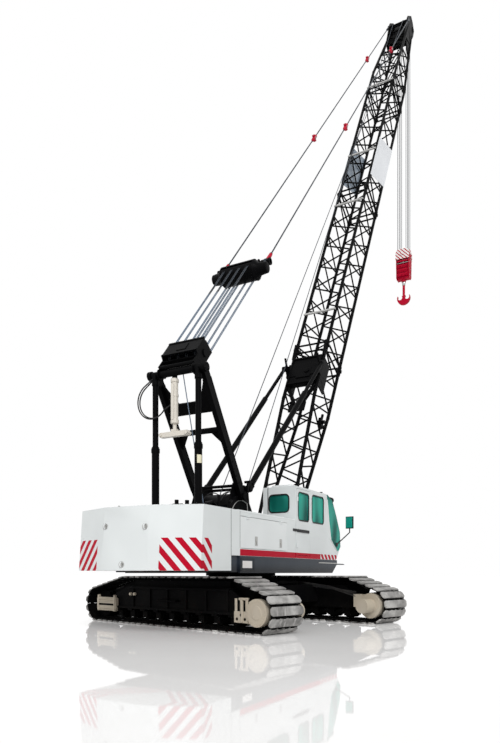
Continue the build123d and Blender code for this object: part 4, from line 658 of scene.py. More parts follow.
NODE_FINISHES = (  # finish, CAD nodes that keep their own mesh
    ("black", ("boom_butt", "boom_insert_a", "boom_insert_b", "boom_tip", "head_sheaves",
               "gantry_frame", "gantry_back_stays", "gantry_bail", "bridle", "winch_frames",
               "backstop_tubes", "backstop_rods", "boom_hoist_drum", "main_drum", "front_drum",
               "cab_lamp")),
    ("black_dusty", ("side_frames", "idlers_and_sprockets", "track_rollers", "slew_ring_lower",
                     "slew_ring_upper")),
    ("tan", ("travel_motors",)),
    ("cream", ("lift_cylinder", "lift_yoke")),
    ("panels", ("boom_panels",)),
    ("greased", ("pendants",)),
    ("glass", ("cab_glass", "door_glass")),
    ("rubber", ("mirror",)),
    ("engine", ("engine",)))
EASED_NODES = (  # node, body, finish, width of the rounded edge
    ("counterweight", "upper", "chevrons", 0.016),
    ("house", "upper", "striped", 0.012),
    ("house_door_right", "house_door_right", "white", 0.006),
    ("house_door_left", "house_door_left", "white", 0.006),
    ("cab_shell", "upper", "striped", 0.02),
    ("cab_door", "cab_door", "striped", 0.006),
    ("deck", "upper", "deck", 0.006),
    ("carbody", "undercarriage", "black_dusty", 0.02),
    ("final_drives", "undercarriage", "tan", 0.025),
    ("take_up_blocks", "undercarriage", "tan", 0.014),
    ("hook_block", "hook_block", "red_striped", 0.006),
    ("hook", "hook", "red", 0.028))


# ---------------------------------------------------------------- settings
def colour_setting(name, description, default):
    """A colour that can be changed in the panel."""
    return FloatVectorProperty(name=name, description=description, subtype="COLOR", size=3,
                               min=0, max=1, default=default)


class CraneColours(bpy.types.PropertyGroup):
    """Colours of the crane's main paints"""
    body: colour_setting("Body white", "House, cab and counterweight", (0.7, 0.73, 0.73))
    stripe: colour_setting("Stripe red", "Side stripe and chevrons", (0.44, 0.002, 0.02))
    skirt: colour_setting("Skirt slate", "Skirts under house and cab", (0.026, 0.034, 0.046))
    frame: colour_setting("Frame black", "Boom, gantry and base", (0.0022, 0.0022, 0.0025))
    drives: colour_setting("Drive tan", "Final drives and take-ups", (0.44, 0.385, 0.3))
    hook: colour_setting("Hook red", "Hook block and hook", (0.42, 0.003, 0.024))
    glass: colour_setting("Glass green", "Tint of the cab glass", (0.06, 0.56, 0.44))


class CraneSizes(bpy.types.PropertyGroup):
    """Sizes of the crane's fittings"""
    shoe_gap: FloatProperty(name="Shoe gap", description="Gap between two track shoes",
                            default=0.062, min=0.005, unit="LENGTH")
    rope_sides: IntProperty(name="Rope sides", description="Sides of each rope's section",
                            default=8, min=5, max=24)
    seal_width: FloatProperty(name="Seal width", description="Width of the window seals",
                              default=0.03, min=0.01, unit="LENGTH")
    lens: FloatProperty(name="Lens", description="Focal length of the camera in millimetres",
                        default=45.53, min=10)


# ---------------------------------------------------------------- operators
class CRANE_OT_stage(bpy.types.Operator):
    """Makes the pale floor, the soft lights and the camera"""
    bl_idname = "crane.stage"
    bl_label = "Studio and camera"

    def execute(self, context):
        camera = linked("camera", bpy.data.cameras.new("camera"))
        camera.location = (-13.39, -7.91, 1.19)
        camera.rotation_euler = (pi / 2, 0, radians(-61.77))
        camera.data.sensor_fit = "HORIZONTAL"
        camera.data.sensor_width = 36.0
        camera.data.lens = context.scene.crane_sizes.lens
        camera.data.shift_x = -0.0331
        camera.data.shift_y = 0.4025
        camera.data.clip_end = 500.0
        context.scene.camera = camera
        self.make_floor()
        for name, energy, angle, tilt, turn in (("key_light", 1.9, 20.0, 55, -48),
                                                ("fill_light", 0.5, 60.0, 60, -110)):
            light = linked(name, bpy.data.lights.new(name, "SUN"))
            light.data.energy = energy
            light.data.angle = radians(angle)
            light.rotation_euler = (radians(tilt), 0, radians(turn))
        self.make_world(context)
        context.scene.view_settings.view_transform = "Standard"
        return {"FINISHED"}

    def make_floor(self):
        ground = Shape()
        bmesh.ops.create_grid(ground.bm, x_segments=1, y_segments=1, size=160.0)
        floor = linked("floor", ground.to_mesh("floor"))
        material, tree, shader = new_material("pale_floor")
        mottle = ranged(tree, noise(tree, object_space(tree), 0.7), 0.3, 0.7)
        rays = add_node(tree, "LightPath").outputs
        set_inputs(tree, shader, Roughness=0.03, IOR=1.28,
                   Base_Color=mix_colour(tree, mottle, (0.9, 0.895, 0.89), (0.93, 0.925, 0.92)),
                   Emission_Color=(1.0, 0.985, 0.975, 1.0),
                   Emission_Strength=maths(tree, "MULTIPLY", rays["Is Camera Ray"], 0.14))
        floor.data.materials.append(material)

    def make_world(self, context):
        world = bpy.data.worlds.new("studio")
        world.use_nodes = True
        tree = world.node_tree
        rays = add_node(tree, "LightPath").outputs
        mirrored = maths(tree, "MAXIMUM", rays["Is Glossy Ray"], rays["Is Transmission Ray"])
        seen = maths(tree, "MAXIMUM", rays["Is Camera Ray"], mirrored)
        set_inputs(tree, tree.nodes["Background"], Color=(1, 1, 1, 1),
                   Strength=ranged(tree, seen, 0.0, 1.0, 0.5, 1.0))
        context.scene.world = world


class CRANE_OT_finishes(bpy.types.Operator):
    """Makes every finish, paints the CAD nodes and eases the edges of the sheet metal"""
    bl_idname = "crane.finishes"
    bl_label = "Finishes"

    def execute(self, context):
        make_finishes()
        for finish, nodes in NODE_FINISHES:
            for node in nodes:
                slots = NODES[node].data.materials
                slots.clear()
                slots.append(FINISHES[finish])
        for node, body, finish, width in EASED_NODES:
            eased(node, body, finish, width)
        return {"FINISHED"}


def straight(start, end):
    """A straight run of the belt: its length, and y, z and heading at a distance along it."""
    (y, z), (end_y, end_z) = start, end
    length, heading = hypot(end_y - y, end_z - z), atan2(end_z - z, end_y - y)
    return length, lambda far: (y + (end_y - y) * far / length, z + (end_z - z) * far / length,
                                heading)


def bend(y, low, high):
    """A run of the belt round an end wheel, between two angles."""
    def spot(far):
        turn = low + far / END_RADIUS
        return y + END_RADIUS * cos(turn), END_RADIUS * (1 + sin(turn)), turn + pi / 2

    return END_RADIUS * (high - low), spot


def leaving(end, side):
    """Where a slope down from the top run meets an end wheel: the angle, and y and z."""
    across, rise = side * (end - WHEEL_Y), TRACK_TOP - END_RADIUS
    tangent = (across ** 2 + rise ** 2 - END_RADIUS ** 2) ** 0.5
    turn = atan2(rise, across) - side * (pi / 2 - atan2(END_RADIUS, tangent))
    return turn, (side * WHEEL_Y + END_RADIUS * cos(turn), END_RADIUS * (1 + sin(turn)))


def belt_stations():
    """Evenly spaced places on the belt: y, z and heading, at each shoe's middle."""
    front_turn, front = leaving(TOP_FRONT, 1)
    rear_turn, rear = leaving(TOP_REAR, -1)
    runs = (straight((-WHEEL_Y, 0), (WHEEL_Y, 0)),
            bend(WHEEL_Y, -pi / 2, front_turn),
            straight(front, (TOP_FRONT, TRACK_TOP)),
            straight((TOP_FRONT, TRACK_TOP), (-TOP_REAR, TRACK_TOP)),
            straight((-TOP_REAR, TRACK_TOP), rear),
            bend(-WHEEL_Y, rear_turn, 3 * pi / 2))
    total = sum(length for length, _ in runs)
    count = round(total / SHOE_PITCH)
    for i in range(count):
        left = total * i / count
        for length, spot in runs:
            if left <= length:
                break
            left -= length
        yield spot(left)


class CRANE_OT_tracks(bpy.types.Operator):
    """Makes the track shoes and their chains, one by one round each belt"""
    bl_idname = "crane.tracks"
    bl_label = "Track shoes"

    def execute(self, context):
        # one shoe: local x across the track, y along it, z outwards, the outer face at z = 0
        half = (SHOE_PITCH - context.scene.crane_sizes.shoe_gap) / 2
        edge, corner = SHOE_WIDTH / 2, 0.045
        outline = ((-edge, -corner), (corner - edge, -half), (edge - corner, -half),
                   (edge, -corner), (edge, corner), (edge - corner, half),
                   (corner - edge, half), (-edge, corner))
        shoe, link = Shape(), Shape()
        shoe.plate(outline, -0.034, -0.004)
        shoe.plate([(x * 0.955, y * 0.8) for x, y in outline], -0.006, 0.0)
        # dark base plate, teeth across the gap to the next shoe, and the chain inside
        link.box((-0.425, -half - 0.016, -0.062), (0.425, half + 0.016, -0.032), 0.004)
        for x in (-0.27, -0.09, 0.09, 0.27):
            link.box((x - 0.045, half - 0.004, -0.036), (x + 0.045, half + 0.034, -0.01), 0.004)
        for side in SIDES:
            link.box((side * 0.075, -half - 0.02, -0.0995), (side * 0.135, half + 0.014, -0.05),
                     0.01)
        link.rod((-0.15, -half, -0.075), (0.15, -half, -0.075), 0.02, 10)
        shoe, link = shoe.to_mesh("shoe"), link.to_mesh("link")
        for side, name in ((-1, "near"), (1, "far")):
            shoes, chain = Shape(BASE), Shape(BASE)
            for y, z, turn in belt_stations():
                place = axes((side * GAUGE / 2, y, z), FORWARD, (0, cos(turn), sin(turn)))
                # turned over, so that local z points out of the belt
                place = place @ Matrix.Rotation(pi, 4, "X")
                shoes.stamp(shoe, place)
                chain.stamp(link, place)
            shoes.ride(f"track_shoes_{name}", "undercarriage", "shoes",
                       replaces=(f"track_{name}",))
            chain.ride(f"track_chain_{name}", "undercarriage", "black_dusty", "shoe_steel")
        return {"FINISHED"}


class CRANE_OT_base(bpy.types.Operator):
    """Adds ribs, guards, bolts, steps and pipes to the crawler base"""
    bl_idname = "crane.base"
    bl_label = "Crawler base fittings"

    def execute(self, context):
        black, tan = Shape(BASE), Shape(BASE)
        for side in SIDES:
            axis = (side, 0, 0)
            middle, out = side * GAUGE / 2, side * (GAUGE / 2 + FRAME_HALF)
            # boxes on the outer face: from and to as measured outwards, then y and z
            for shape, near, far, y0, y1, z0, z1, bevel in (
                    # guard rail, upper edge rail, step, ribs, blocks under the guard rail
                    (black, 0, 0.045, -2.15, 2.15, 0.345, 0.4, 0.008),
                    (black, 0, 0.035, -1.95, 1.55, 0.82, 0.87, 0.008),
                    (black, 0, 0.12, -0.35, 0.3, 0.56, 0.59, 0.006),
                    *((black, 0, 0.03, y - 0.02, y + 0.02, 0.4, 0.82, 0.006)
                      for y in (-1.9, -1.25, -0.6, 0.05, 0.7, 1.35)),
                    *((black, -0.03, 0.02, i * 0.5 - 0.09, i * 0.5 + 0.09, 0.3, 0.352, 0.01)
                      for i in range(-4, 5)),
                    # bracket of the final drive: slotted plate, its backing and an upright rib
                    (tan, 0.05, 0.1, -2.56, -2.17, 0.215, 0.44, 0.012),
                    *((tan, 0.05, 0.1, y - 0.03, y + 0.03, 0.43, 0.69, 0.01)
                      for y in (-2.52, -2.37, -2.22)),
                    (tan, 0.05, 0.1, -2.56, -2.3, 0.655, 0.705, 0.01),
                    (black, 0.04, 0.08, -2.56, -2.17, 0.4, 0.7, 0.006),
                    (tan, 0.095, 0.135, -2.44, -2.4, 0.24, 0.64, 0.008),
                    # take-up: ridges, ends and a dark strip as painted shade in its slot
                    *((tan, 0.04, 0.112, 2.05, 2.72, z - 0.012, z + 0.012, 0.006)
                      for z in (0.29, 0.325, 0.5, 0.545, 0.58)),
                    *((tan, 0.04, 0.112, y - 0.022, y + 0.022, 0.255, 0.65, 0.008)
                      for y in (2.03, 2.735)),
                    (black, 0.04, 0.104, 2.06, 2.71, 0.395, 0.44, 0.006)):
                shape.box((out + side * near, y0, z0), (out + side * far, y1, z1), bevel)
            # channel under the top run, and guides under its slopes
            black.box((middle - 0.2, -1.86, 0.87), (middle + 0.2, 1.45, 1.028), 0.008)
            for outline in (((1.3, 0.86), (1.46, 1.0), (1.66, 1.0), (2.42, 0.745), (2.34, 0.6),
                             (1.6, 0.7)),
                            ((-1.8, 0.86), (-1.88, 1.0), (-2.06, 1.0), (-2.46, 0.8),
                             (-2.4, 0.66), (-1.95, 0.7))):
                black.plate(outline, -0.1, 0.1, axes((middle, 0, 0), LEFT, UP))
            # final drive: raised hub and rims of bolts
            cover = side * (GAUGE / 2 + DRIVE_FACE)
            tan.lathe(((-0.01, 0), (-0.01, 0.15), (0.004, 0.14), (0.009, 0.125), (0.009, 0)),
                      (cover, -WHEEL_Y, END_RADIUS), axis)
            for rise, radius, count, head, height in ((-0.004, 0.225, 18, 0.036, 0.012),
                                                      (0.002, 0.1, 8, 0.03, 0.01)):
                tan.bolt_ring((cover + side * rise, -WHEEL_Y, END_RADIUS), axis, radius, count,
                              head, height)
            # dark discs as painted shade in the bracket's holes, and two round covers
            for y, z in ((-2.48, 0.29), (-2.26, 0.29), (-2.37, 0.37)):
                black.rod((out + side * 0.08, y, z), (out + side * 0.104, y, z), 0.03, 20)
            for y in (1.3, 1.46):
                tan.rod((out, y, 0.69), (out + side * 0.045, y, 0.69), 0.042, 20, 0.034)
        black.ride("base_ribs_and_steps", "undercarriage", "black_dusty")
        tan.ride("drive_and_take_up_details", "undercarriage", "tan")

        ring = Shape()
        ring.bolt_ring((0, 0, 1.05), UP, 0.868, 60, 0.034, 0.03)
        ring.ride("ring_bolts", "undercarriage", "black_dusty")

        pipes = Shape(BASE)
        for i, z in enumerate((0.93, 0.98, 0.955)):
            spots = [Vector(spot) for spot in (
                (0.62, -0.3 - 0.06 * i, z), (1.3, -0.62 - 0.05 * i, z), (1.44, -1.6, z - 0.12),
                (1.44, -2.4, 0.74 - 0.05 * i))]
            pipes.rods(spots, 0.017, 10)
            for here, there in zip(spots, spots[1:]):
                along = (there - here).normalized()
                pipes.rod(there - along * 0.03, there + along * 0.012, 0.0195, 10)
        pipes.ride("travel_pipes", "undercarriage", "rubber")
        return {"FINISHED"}


class CRANE_OT_counterweight(bpy.types.Operator):
    """Adds seams, plugs and lug eyes to the counterweight"""
    bl_idname = "crane.counterweight"
    bl_label = "Counterweight fittings"

    def execute(self, context):
        seams = Shape()
        for side in SIDES:
            inner, outer = side * (SIDE_Y - 0.004), side * (SIDE_Y + 0.0015)
            for x, half, foot in ((CW_FRONT, SEAM, CW_BOTTOM + 0.3), (-2.53, SEAM / 2, 1.7)):
                seams.box((x - half, inner, foot), (x + half, outer, CW_TOP - 0.016))
        seams.box((-3.45, -0.9, CW_TOP - 0.002), (-3.44, 0.9, CW_TOP + 0.002))
        seams.ride("body_seams", "upper", "rubber")

        lugs = Shape()
        for x, y in ((-3.7, 0.62), (-3.42, -0.24)):
            lugs.arc((x, y, CW_TOP + 0.045), LEFT, (0, 0, 0.03), 0.01, steps=20)
        for y, z in ((0.51, 2.07), (-0.45, 2.04), (0.06, 1.34)):
            face = CW_REAR - CW_LEAN * (CW_TOP - z) / (CW_TOP - CW_BOTTOM)
            lugs.rod((face + 0.02, y, z), (face - 0.006, y, z), 0.062, 28)
        lugs.ride("counterweight_plugs", "upper", "bare")
        return {"FINISHED"}


class CRANE_OT_house(bpy.types.Operator):
    """Adds gutters, lids, latches, skirt plates, rails, caps and the exhaust to the house"""
    bl_idname = "crane.house"
    bl_label = "House fittings"

    def execute(self, context):
        white, dark, plate, rails = (Shape() for _ in range(4))
        for side, front, name, handle in ((-1, 0.02, "right", 0.008), (1, 1.9, "left", 0.016)):
            # rounded roof edge: a gutter bar and two raised lids
            edge = side * (SIDE_Y - 0.012)
            white.rod((-2.52, edge, 2.418), (front - 0.03, edge, 2.418), 0.017, 14)
            for x0, x1, rise, bevel in ((-2.5, -0.46, 0.032, 0.012),
                                        (-0.42, front - 0.05, 0.022, 0.01)):
                white.box((x0, side * 0.86, HOUSE_TOP), (x1, side * 1.42, HOUSE_TOP + rise),
                          bevel)
            # latches low on the door, each a plate with a round boss and a handle
            latch = Shape()
            inner, outer = side * (SIDE_Y - 0.002), side * (SIDE_Y + 0.008)
            for x in (-1.868, -0.746):
                latch.box((x - 0.052, inner, 1.755), (x + 0.052, outer, 1.945), 0.004)
                latch.rod((x, side * (SIDE_Y + 0.006), 1.865), (x, side * (SIDE_Y + 0.016), 1.865),
                          0.036, 24)
                latch.box((x - 0.012, inner, 1.775), (x + 0.012, side * (SIDE_Y + handle), 1.865),
                          0.004)
            latch.ride(f"door_latches_{name}", f"house_door_{name}", "bare")
            # framed blank plate on the skirt
            inner, outer = side * (SIDE_Y - 0.004), side * (SIDE_Y + 0.006)
            for x0, x1, z0, z1 in ((-2.5, -1.96, 1.232, 1.246), (-2.5, -1.96, 1.466, 1.48),
                                   (-2.5, -2.486, 1.232, 1.48), (-1.974, -1.96, 1.232, 1.48)):
                dark.box((x0, inner, z0), (x1, outer, z1))
            plate.box((-2.43, inner, 1.285), (-2.05, outer, 1.43), 0.003)
            # walkway rail between the winches and the house
            y = side * WALKWAY_Y
            rails.rod((-2.5, y, 2.5), (-1.3, y, 2.5), 0.014)
            for x in (-2.45, -1.9, -1.35):
                rails.rod((x, y, 2.435), (x, y, 2.5), 0.011)
        # exhaust stub and filler caps
        dark.rod((-1.1, 1.12, 2.44), (-1.1, 1.12, 2.7), 0.06, 24)
        dark.rod((-1.1, 1.12, 2.69), (-1.06, 1.12, 2.8), 0.052, 24)
        for x, y in ((0.6, 1.05), (-0.24, -1.05)):
            dark.lathe(((0, 0), (0, 0.07), (0.035, 0.066), (0.045, 0.045), (0.045, 0)),
                       (x, y, 2.45), UP, steps=24)
        white.ride("house_lids_and_gutters", "upper", "white")
        dark.ride("house_dark_fittings", "upper", "rubber")
        plate.ride("skirt_plates", "upper", "plate")
        rails.ride("walkway_rails", "upper", "black")
        return {"FINISHED"}


def add_seal(rubber, corners, place, width, height, bar, radius):
    """A rubber seal round a window, flat in the place's xy plane, and plates in its corners."""
    ring = Shape()
    ends = bmesh.ops.create_grid(ring.bm, x_segments=1, y_segments=1, size=0.5,
                                 matrix=Matrix.Diagonal((width, height, 1, 1)))["verts"]
    bmesh.ops.bevel(ring.bm, geom=ends, offset=radius, offset_type="OFFSET", segments=5,
                    profile=0.5, affect="VERTICES", material=-1)
    pane = ring.bm.faces[:]
    bmesh.ops.inset_region(ring.bm, faces=pane, thickness=bar, use_boundary=True,
                           use_even_offset=True)
    bmesh.ops.delete(ring.bm, geom=pane, context="FACES_ONLY")
    ring.thicken(ring.bm.faces[:], 0.01)
    rubber.stamp(ring.to_mesh("seal"), place)
    reach = radius + 0.006                              # a little inside the rounded corner
    for right, up in ((1, 1), (-1, 1), (-1, -1), (1, -1)):
        tip = (right * width / 2, up * height / 2)
        arc = [(tip[0] - right * reach * (1 - cos(turn)), tip[1] - up * reach * (1 - sin(turn)))
               for turn in (i * pi / 12 for i in range(7))]
        corners.plate((tip, *arc), 0.0005, 0.0065, place)


class CRANE_OT_cab(bpy.types.Operator):
    """Adds window seals, the bowed glass, handle, wiper, aerial, lens, mirror glass and steps"""
    bl_idname = "crane.cab"
    bl_label = "Cab fittings"

    def execute(self, context):
        bar = context.scene.crane_sizes.seal_width
        seals, door_seal, plates, door_plates, handle, trim, lens, mirror, steps = (
            Shape() for _ in range(9))
        screen_top, screen_foot = Vector((1.9, SCREEN_Y, 3.24)), Vector((2.83, SCREEN_Y, 1.86))
        screen = axes((screen_top + screen_foot) / 2, LEFT, screen_top - screen_foot)
        screen_height = (screen_top - screen_foot).length - 0.128
        rear = axes((0.04, 0, 0), -LEFT, UP)
        inner = axes((0, -0.605, 0), -FORWARD, UP)
        for rubber, fill, wall, x, z, width, height, radius in (
                (seals, plates, RIGHT_WALL, 1.33, 2.78, 0.752, 0.712, 0.1),
                (door_seal, door_plates, RIGHT_WALL, 0.4725, 2.7725, 0.637, 0.697, 0.1),
                (seals, plates, rear, 1.035, 2.84, 0.562, 0.452, 0.11),
                (seals, plates, inner, -0.975, 2.755, 1.362, 0.662, 0.1),
                (seals, plates, screen, 0, 0, 0.747, screen_height, 0.06)):
            add_seal(rubber, fill, wall @ Matrix.Translation((x, z, -0.002)), width, height, bar,
                     radius)
        seals.ride("window_seals", "upper", "rubber")
        door_seal.ride("door_window_seal", "cab_door", "rubber")
        plates.ride("window_corners", "upper", "white")
        door_plates.ride("door_window_corners", "cab_door", "white")

        # long door handle, and the strip that carries it on behind the door
        handle.box((0.1, -SIDE_Y - 0.022, 2.155), (0.775, -SIDE_Y + 0.002, 2.222), 0.006)
        handle.ride("door_handle_bar", "cab_door", "rubber")
        trim.box((-0.12, -SIDE_Y - 0.016, 2.165), (0.07, -SIDE_Y + 0.002, 2.225), 0.006)
        wiper = screen @ Matrix.Translation((-0.05, -0.42, 0.012))
        trim.rod(wiper @ Vector((0, -0.38, 0.004)), wiper @ Vector((0.1, 0.1, 0.01)), 0.008)
        trim.box((0.092, -0.16, -0.004), (0.108, 0.46, 0.012), 0.002, wiper)
        # aerial behind the cab
        trim.rod((0.035, -0.74, 2.46), (0.035, -0.74, 3.62), 0.007, 8)
        trim.rod((0.035, -0.74, 2.44), (0.035, -0.74, 2.56), 0.018, 10)
        trim.ride("cab_trim", "upper", "rubber")
        self.make_front_glass()

        lens.lathe(((-0.01, 0), (-0.01, 0.066), (0, 0.066), (0.012, 0.04), (0.016, 0)),
                   (2.54, -1.35, 3.15), FORWARD)
        lens.ride("lamp_lens", "upper", "lens")
        low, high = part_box("mirror")
        mirror.box((3.45, low.y + 0.022, 2.464), (3.4565, high.y - 0.006, 2.758), 0.002)
        mirror.ride("mirror_glass", "upper", "film")

        for i in range(9):
            x = 2.7 + i * 0.062
            steps.box((x, -1.42, 1.4345), (x + 0.022, -0.63, 1.4405))
        # a rim along the skirt's top; its light bare-steel finish also stands for the highlight
        # along that edge, a painted highlight
        steps.box((1.38, -SIDE_Y - 0.01, 1.432), (2.62, -SIDE_Y + 0.002, 1.456), 0.004)
        steps.ride("cab_step_and_rim", "upper", "bare")
        return {"FINISHED"}

    def make_front_glass(self):
        """The bowed front glass and its frame, standing ahead of the flat screen."""
        bow = ((1.93, 3.225), (2.255, 3.12), (2.56, 2.7), (2.81, 2.29), (2.85, 1.9), (2.7, 1.78))
        post = ((2.59, 1.79), (2.18, 2.06), (2.05, 2.51), (1.935, 3.1))
        dark, glass, white, film = (Shape() for _ in range(4))
        # a teal backing sheet behind the side glass, painted shade of the cab's inside seen
        # through the tint
        film.plate(bow + post, -0.002, 0.004, RIGHT_WALL)
        glass.plate(bow + post, 0.004, 0.008, RIGHT_WALL)
        verts = [glass.bm.verts.new((x, -SIDE_Y - 0.006, z)) for x, z in bow]
        edges = [glass.bm.edges.new(pair) for pair in zip(verts, verts[1:])]
        bmesh.ops.subdivide_edges(glass.bm, edges=edges, cuts=3)
        strip = [edge for edge in glass.bm.edges if not edge.link_faces]
        grown = new_verts(bmesh.ops.extrude_edge_only(glass.bm, edges=strip))
        bmesh.ops.translate(glass.bm, vec=(0, 0.86, 0), verts=grown)
        for shape, line, y, radius in ((white, post, -SIDE_Y - 0.004, 0.014),
                                       (dark, bow, -SIDE_Y - 0.002, 0.009),
                                       (dark, bow, -0.625, 0.009)):
            shape.rods([(x, y, z) for x, z in line], radius)
        dark.ride("front_glass_seals", "upper", "rubber")
        film.ride("front_glass_film", "upper", "film")
        white.ride("front_glass_posts", "upper", "white")
        glass.ride("bowed_front_glass", "upper", "glass")


class CRANE_OT_seat(bpy.types.Operator):
    """Makes the operator's seat: two padded cushions on a base, with consoles and levers"""
    bl_idname = "crane.seat"
    bl_label = "Operator's seat"

    def execute(self, context):
        base = Shape()
        base.box((0.72, -1.2025, 1.577), (1.08, -0.8825, 1.905), 0.02)
        for y in (-1.3725, -0.7125):
            base.box((0.8, y - 0.06, 1.577), (1.32, y + 0.06, 2.133), 0.025)
            base.rod((1.23, y, 2.125), (1.23, y, 2.29), 0.012)
            base.lathe(((0, 0), (0, 0.02), (0.03, 0.024), (0.055, 0.016), (0.06, 0)),
                       (1.23, y, 2.275), UP, steps=16)
        base.ride("seat_base_and_consoles", "upper", "rubber", replaces=("operator_seat",))
        for name, low, high, face in (
                ("seat_cushion", (0.652, -1.28, 1.907), (1.158, -0.805, 2.033), 2),
                ("seat_back", (0.602, -1.27, 2.036), (0.729, -0.815, 2.693), 0)):
            pad = Shape()
            pad.box(low, high)
            bmesh.ops.subdivide_edges(pad.bm, edges=pad.bm.edges[:], cuts=5, use_grid_fill=True)
            middle = (Vector(low) + Vector(high)) / 2
            half = (Vector(high) - Vector(low)) / 2
            for vert in pad.bm.verts:
                # the sides pull in between the corners and the middle of the face crowns
                away = vert.co - middle
                share = max(abs(away[i] / half[i]) for i in range(3) if i != face)
                away[face] *= 1.0 - 0.3 * share ** 3
                vert.co = middle + away
            cushion = pad.ride(name, "upper", "cloth", replaces=("operator_seat",), crease=80.0)
            rounder = cushion.modifiers.new("rounder", "SUBSURF")
            rounder.levels = rounder.render_levels = 1
        return {"FINISHED"}


class CRANE_OT_winches(bpy.types.Operator):
    """Winds rope on the drums and adds shaft caps, tubes, pipes and motors to the winch frames"""
    bl_idname = "crane.winches"
    bl_label = "Winches"

    def execute(self, context):
        pitch = 2 * ROPE_RADIUS + 0.001
        turns = int(2 * (DRUM_HALF - DRUM_FLANGE - 0.003) / pitch)
        end = turns * pitch / 2
        caps, pipes, bright, motors = (Shape() for _ in range(4))
        for body, x, z, barrel, wound in DRUMS:
            profile = [(-end, barrel + 0.002)]
            for i in range(turns):
                middle = (i + 0.5) * pitch - end
                profile += [(middle + side * ROPE_RADIUS * 0.8,
                             wound - abs(side) * ROPE_RADIUS * 0.5) for side in (-1, 0, 1)]
            profile.append((end, barrel + 0.002))
            coils = Shape()
            coils.lathe(profile, (x, 0, z), LEFT, steps=40)
            coils.ride(f"{body}_rope", body, "rope", crease=60.0)
            for side in SIDES:
                caps.lathe(((0, 0), (0, 0.15), (0.035, 0.145), (0.05, 0.095), (0.075, 0.085),
                            (0.08, 0)), (x, side * PLATE_FACE, z), LEFT * side)
                caps.bolt_ring((x, side * (PLATE_FACE + 0.03), z), LEFT * side, 0.122, 10, 0.026,
                               0.016)
        # closed drive cover outside the right hand plate
        caps.lathe(((0, 0), (0, 0.6), (0.03, 0.59), (0.045, 0.56), (0.045, 0)),
                   (-0.9, -PLATE_FACE, 2.36), -LEFT, steps=48)
        # cross tubes between the plates
        for x, z, radius in ((-2.42, 2.28, 0.04), (-2.42, 1.7, 0.04), (0.72, 1.7, 0.04),
                             (-1.55, 1.66, 0.04), (-1.12, 3.16, 0.035), (-0.58, 3.16, 0.035)):
            caps.rod((x, -0.48, z), (x, 0.48, z), radius)
        caps.ride("winch_caps_and_tubes", "upper", "black")

        # pipes over the curved cover, and a bent one along its edge
        _, x, z, _, _ = DRUMS[1]
        for y in (-0.3, -0.24, 0.2):
            pipes.rods([(x + COVER_RADIUS * cos(radians(turn)), y,
                         z + COVER_RADIUS * sin(radians(turn))) for turn in range(38, 143, 8)],
                       0.012, 8)
        pipes.ride("cover_pipes", "upper", "rubber")
        bright.arc((-0.9, -0.558, 2.36), LEFT, (0.05, 0, 0.48), 0.01, angle=radians(-85),
                   steps=20)
        bright.rods([(-0.85, -0.558, 2.84), (-0.66, -0.558, 2.8), (-0.6, -0.558, 2.5)], 0.01, 8)
        bright.ride("cover_edge_pipe", "upper", "bare")

        # hydraulic motors, a filler neck and pipes that stand behind the drums
        for x, y, z, reach in ((-2.3, -0.2, 2.55, 0.34), (-2.1, 0.24, 2.6, 0.3)):
            motors.rod((x, y, z), (x, y + reach, z), 0.105, 24)
            motors.rod((x, y - 0.06, z), (x, y + 0.02, z), 0.075, 24)
            motors.rod((x, y + reach / 2, z), (x, y + reach / 2, z + 0.19), 0.045)
        for points in (((-2.62, -0.62, 2.46), (-2.5, -0.62, 2.62), (-2.2, -0.6, 2.68),
                        (-1.95, -0.56, 2.6)),
                       ((-2.05, -0.66, 2.46), (-2.03, -0.66, 2.84)),
                       ((-1.62, -0.66, 2.46), (-1.6, -0.66, 2.72), (-1.45, -0.62, 2.78))):
            motors.rods(points, 0.034, 12)
        motors.ride("winch_motors", "upper", "black")
        return {"FINISHED"}


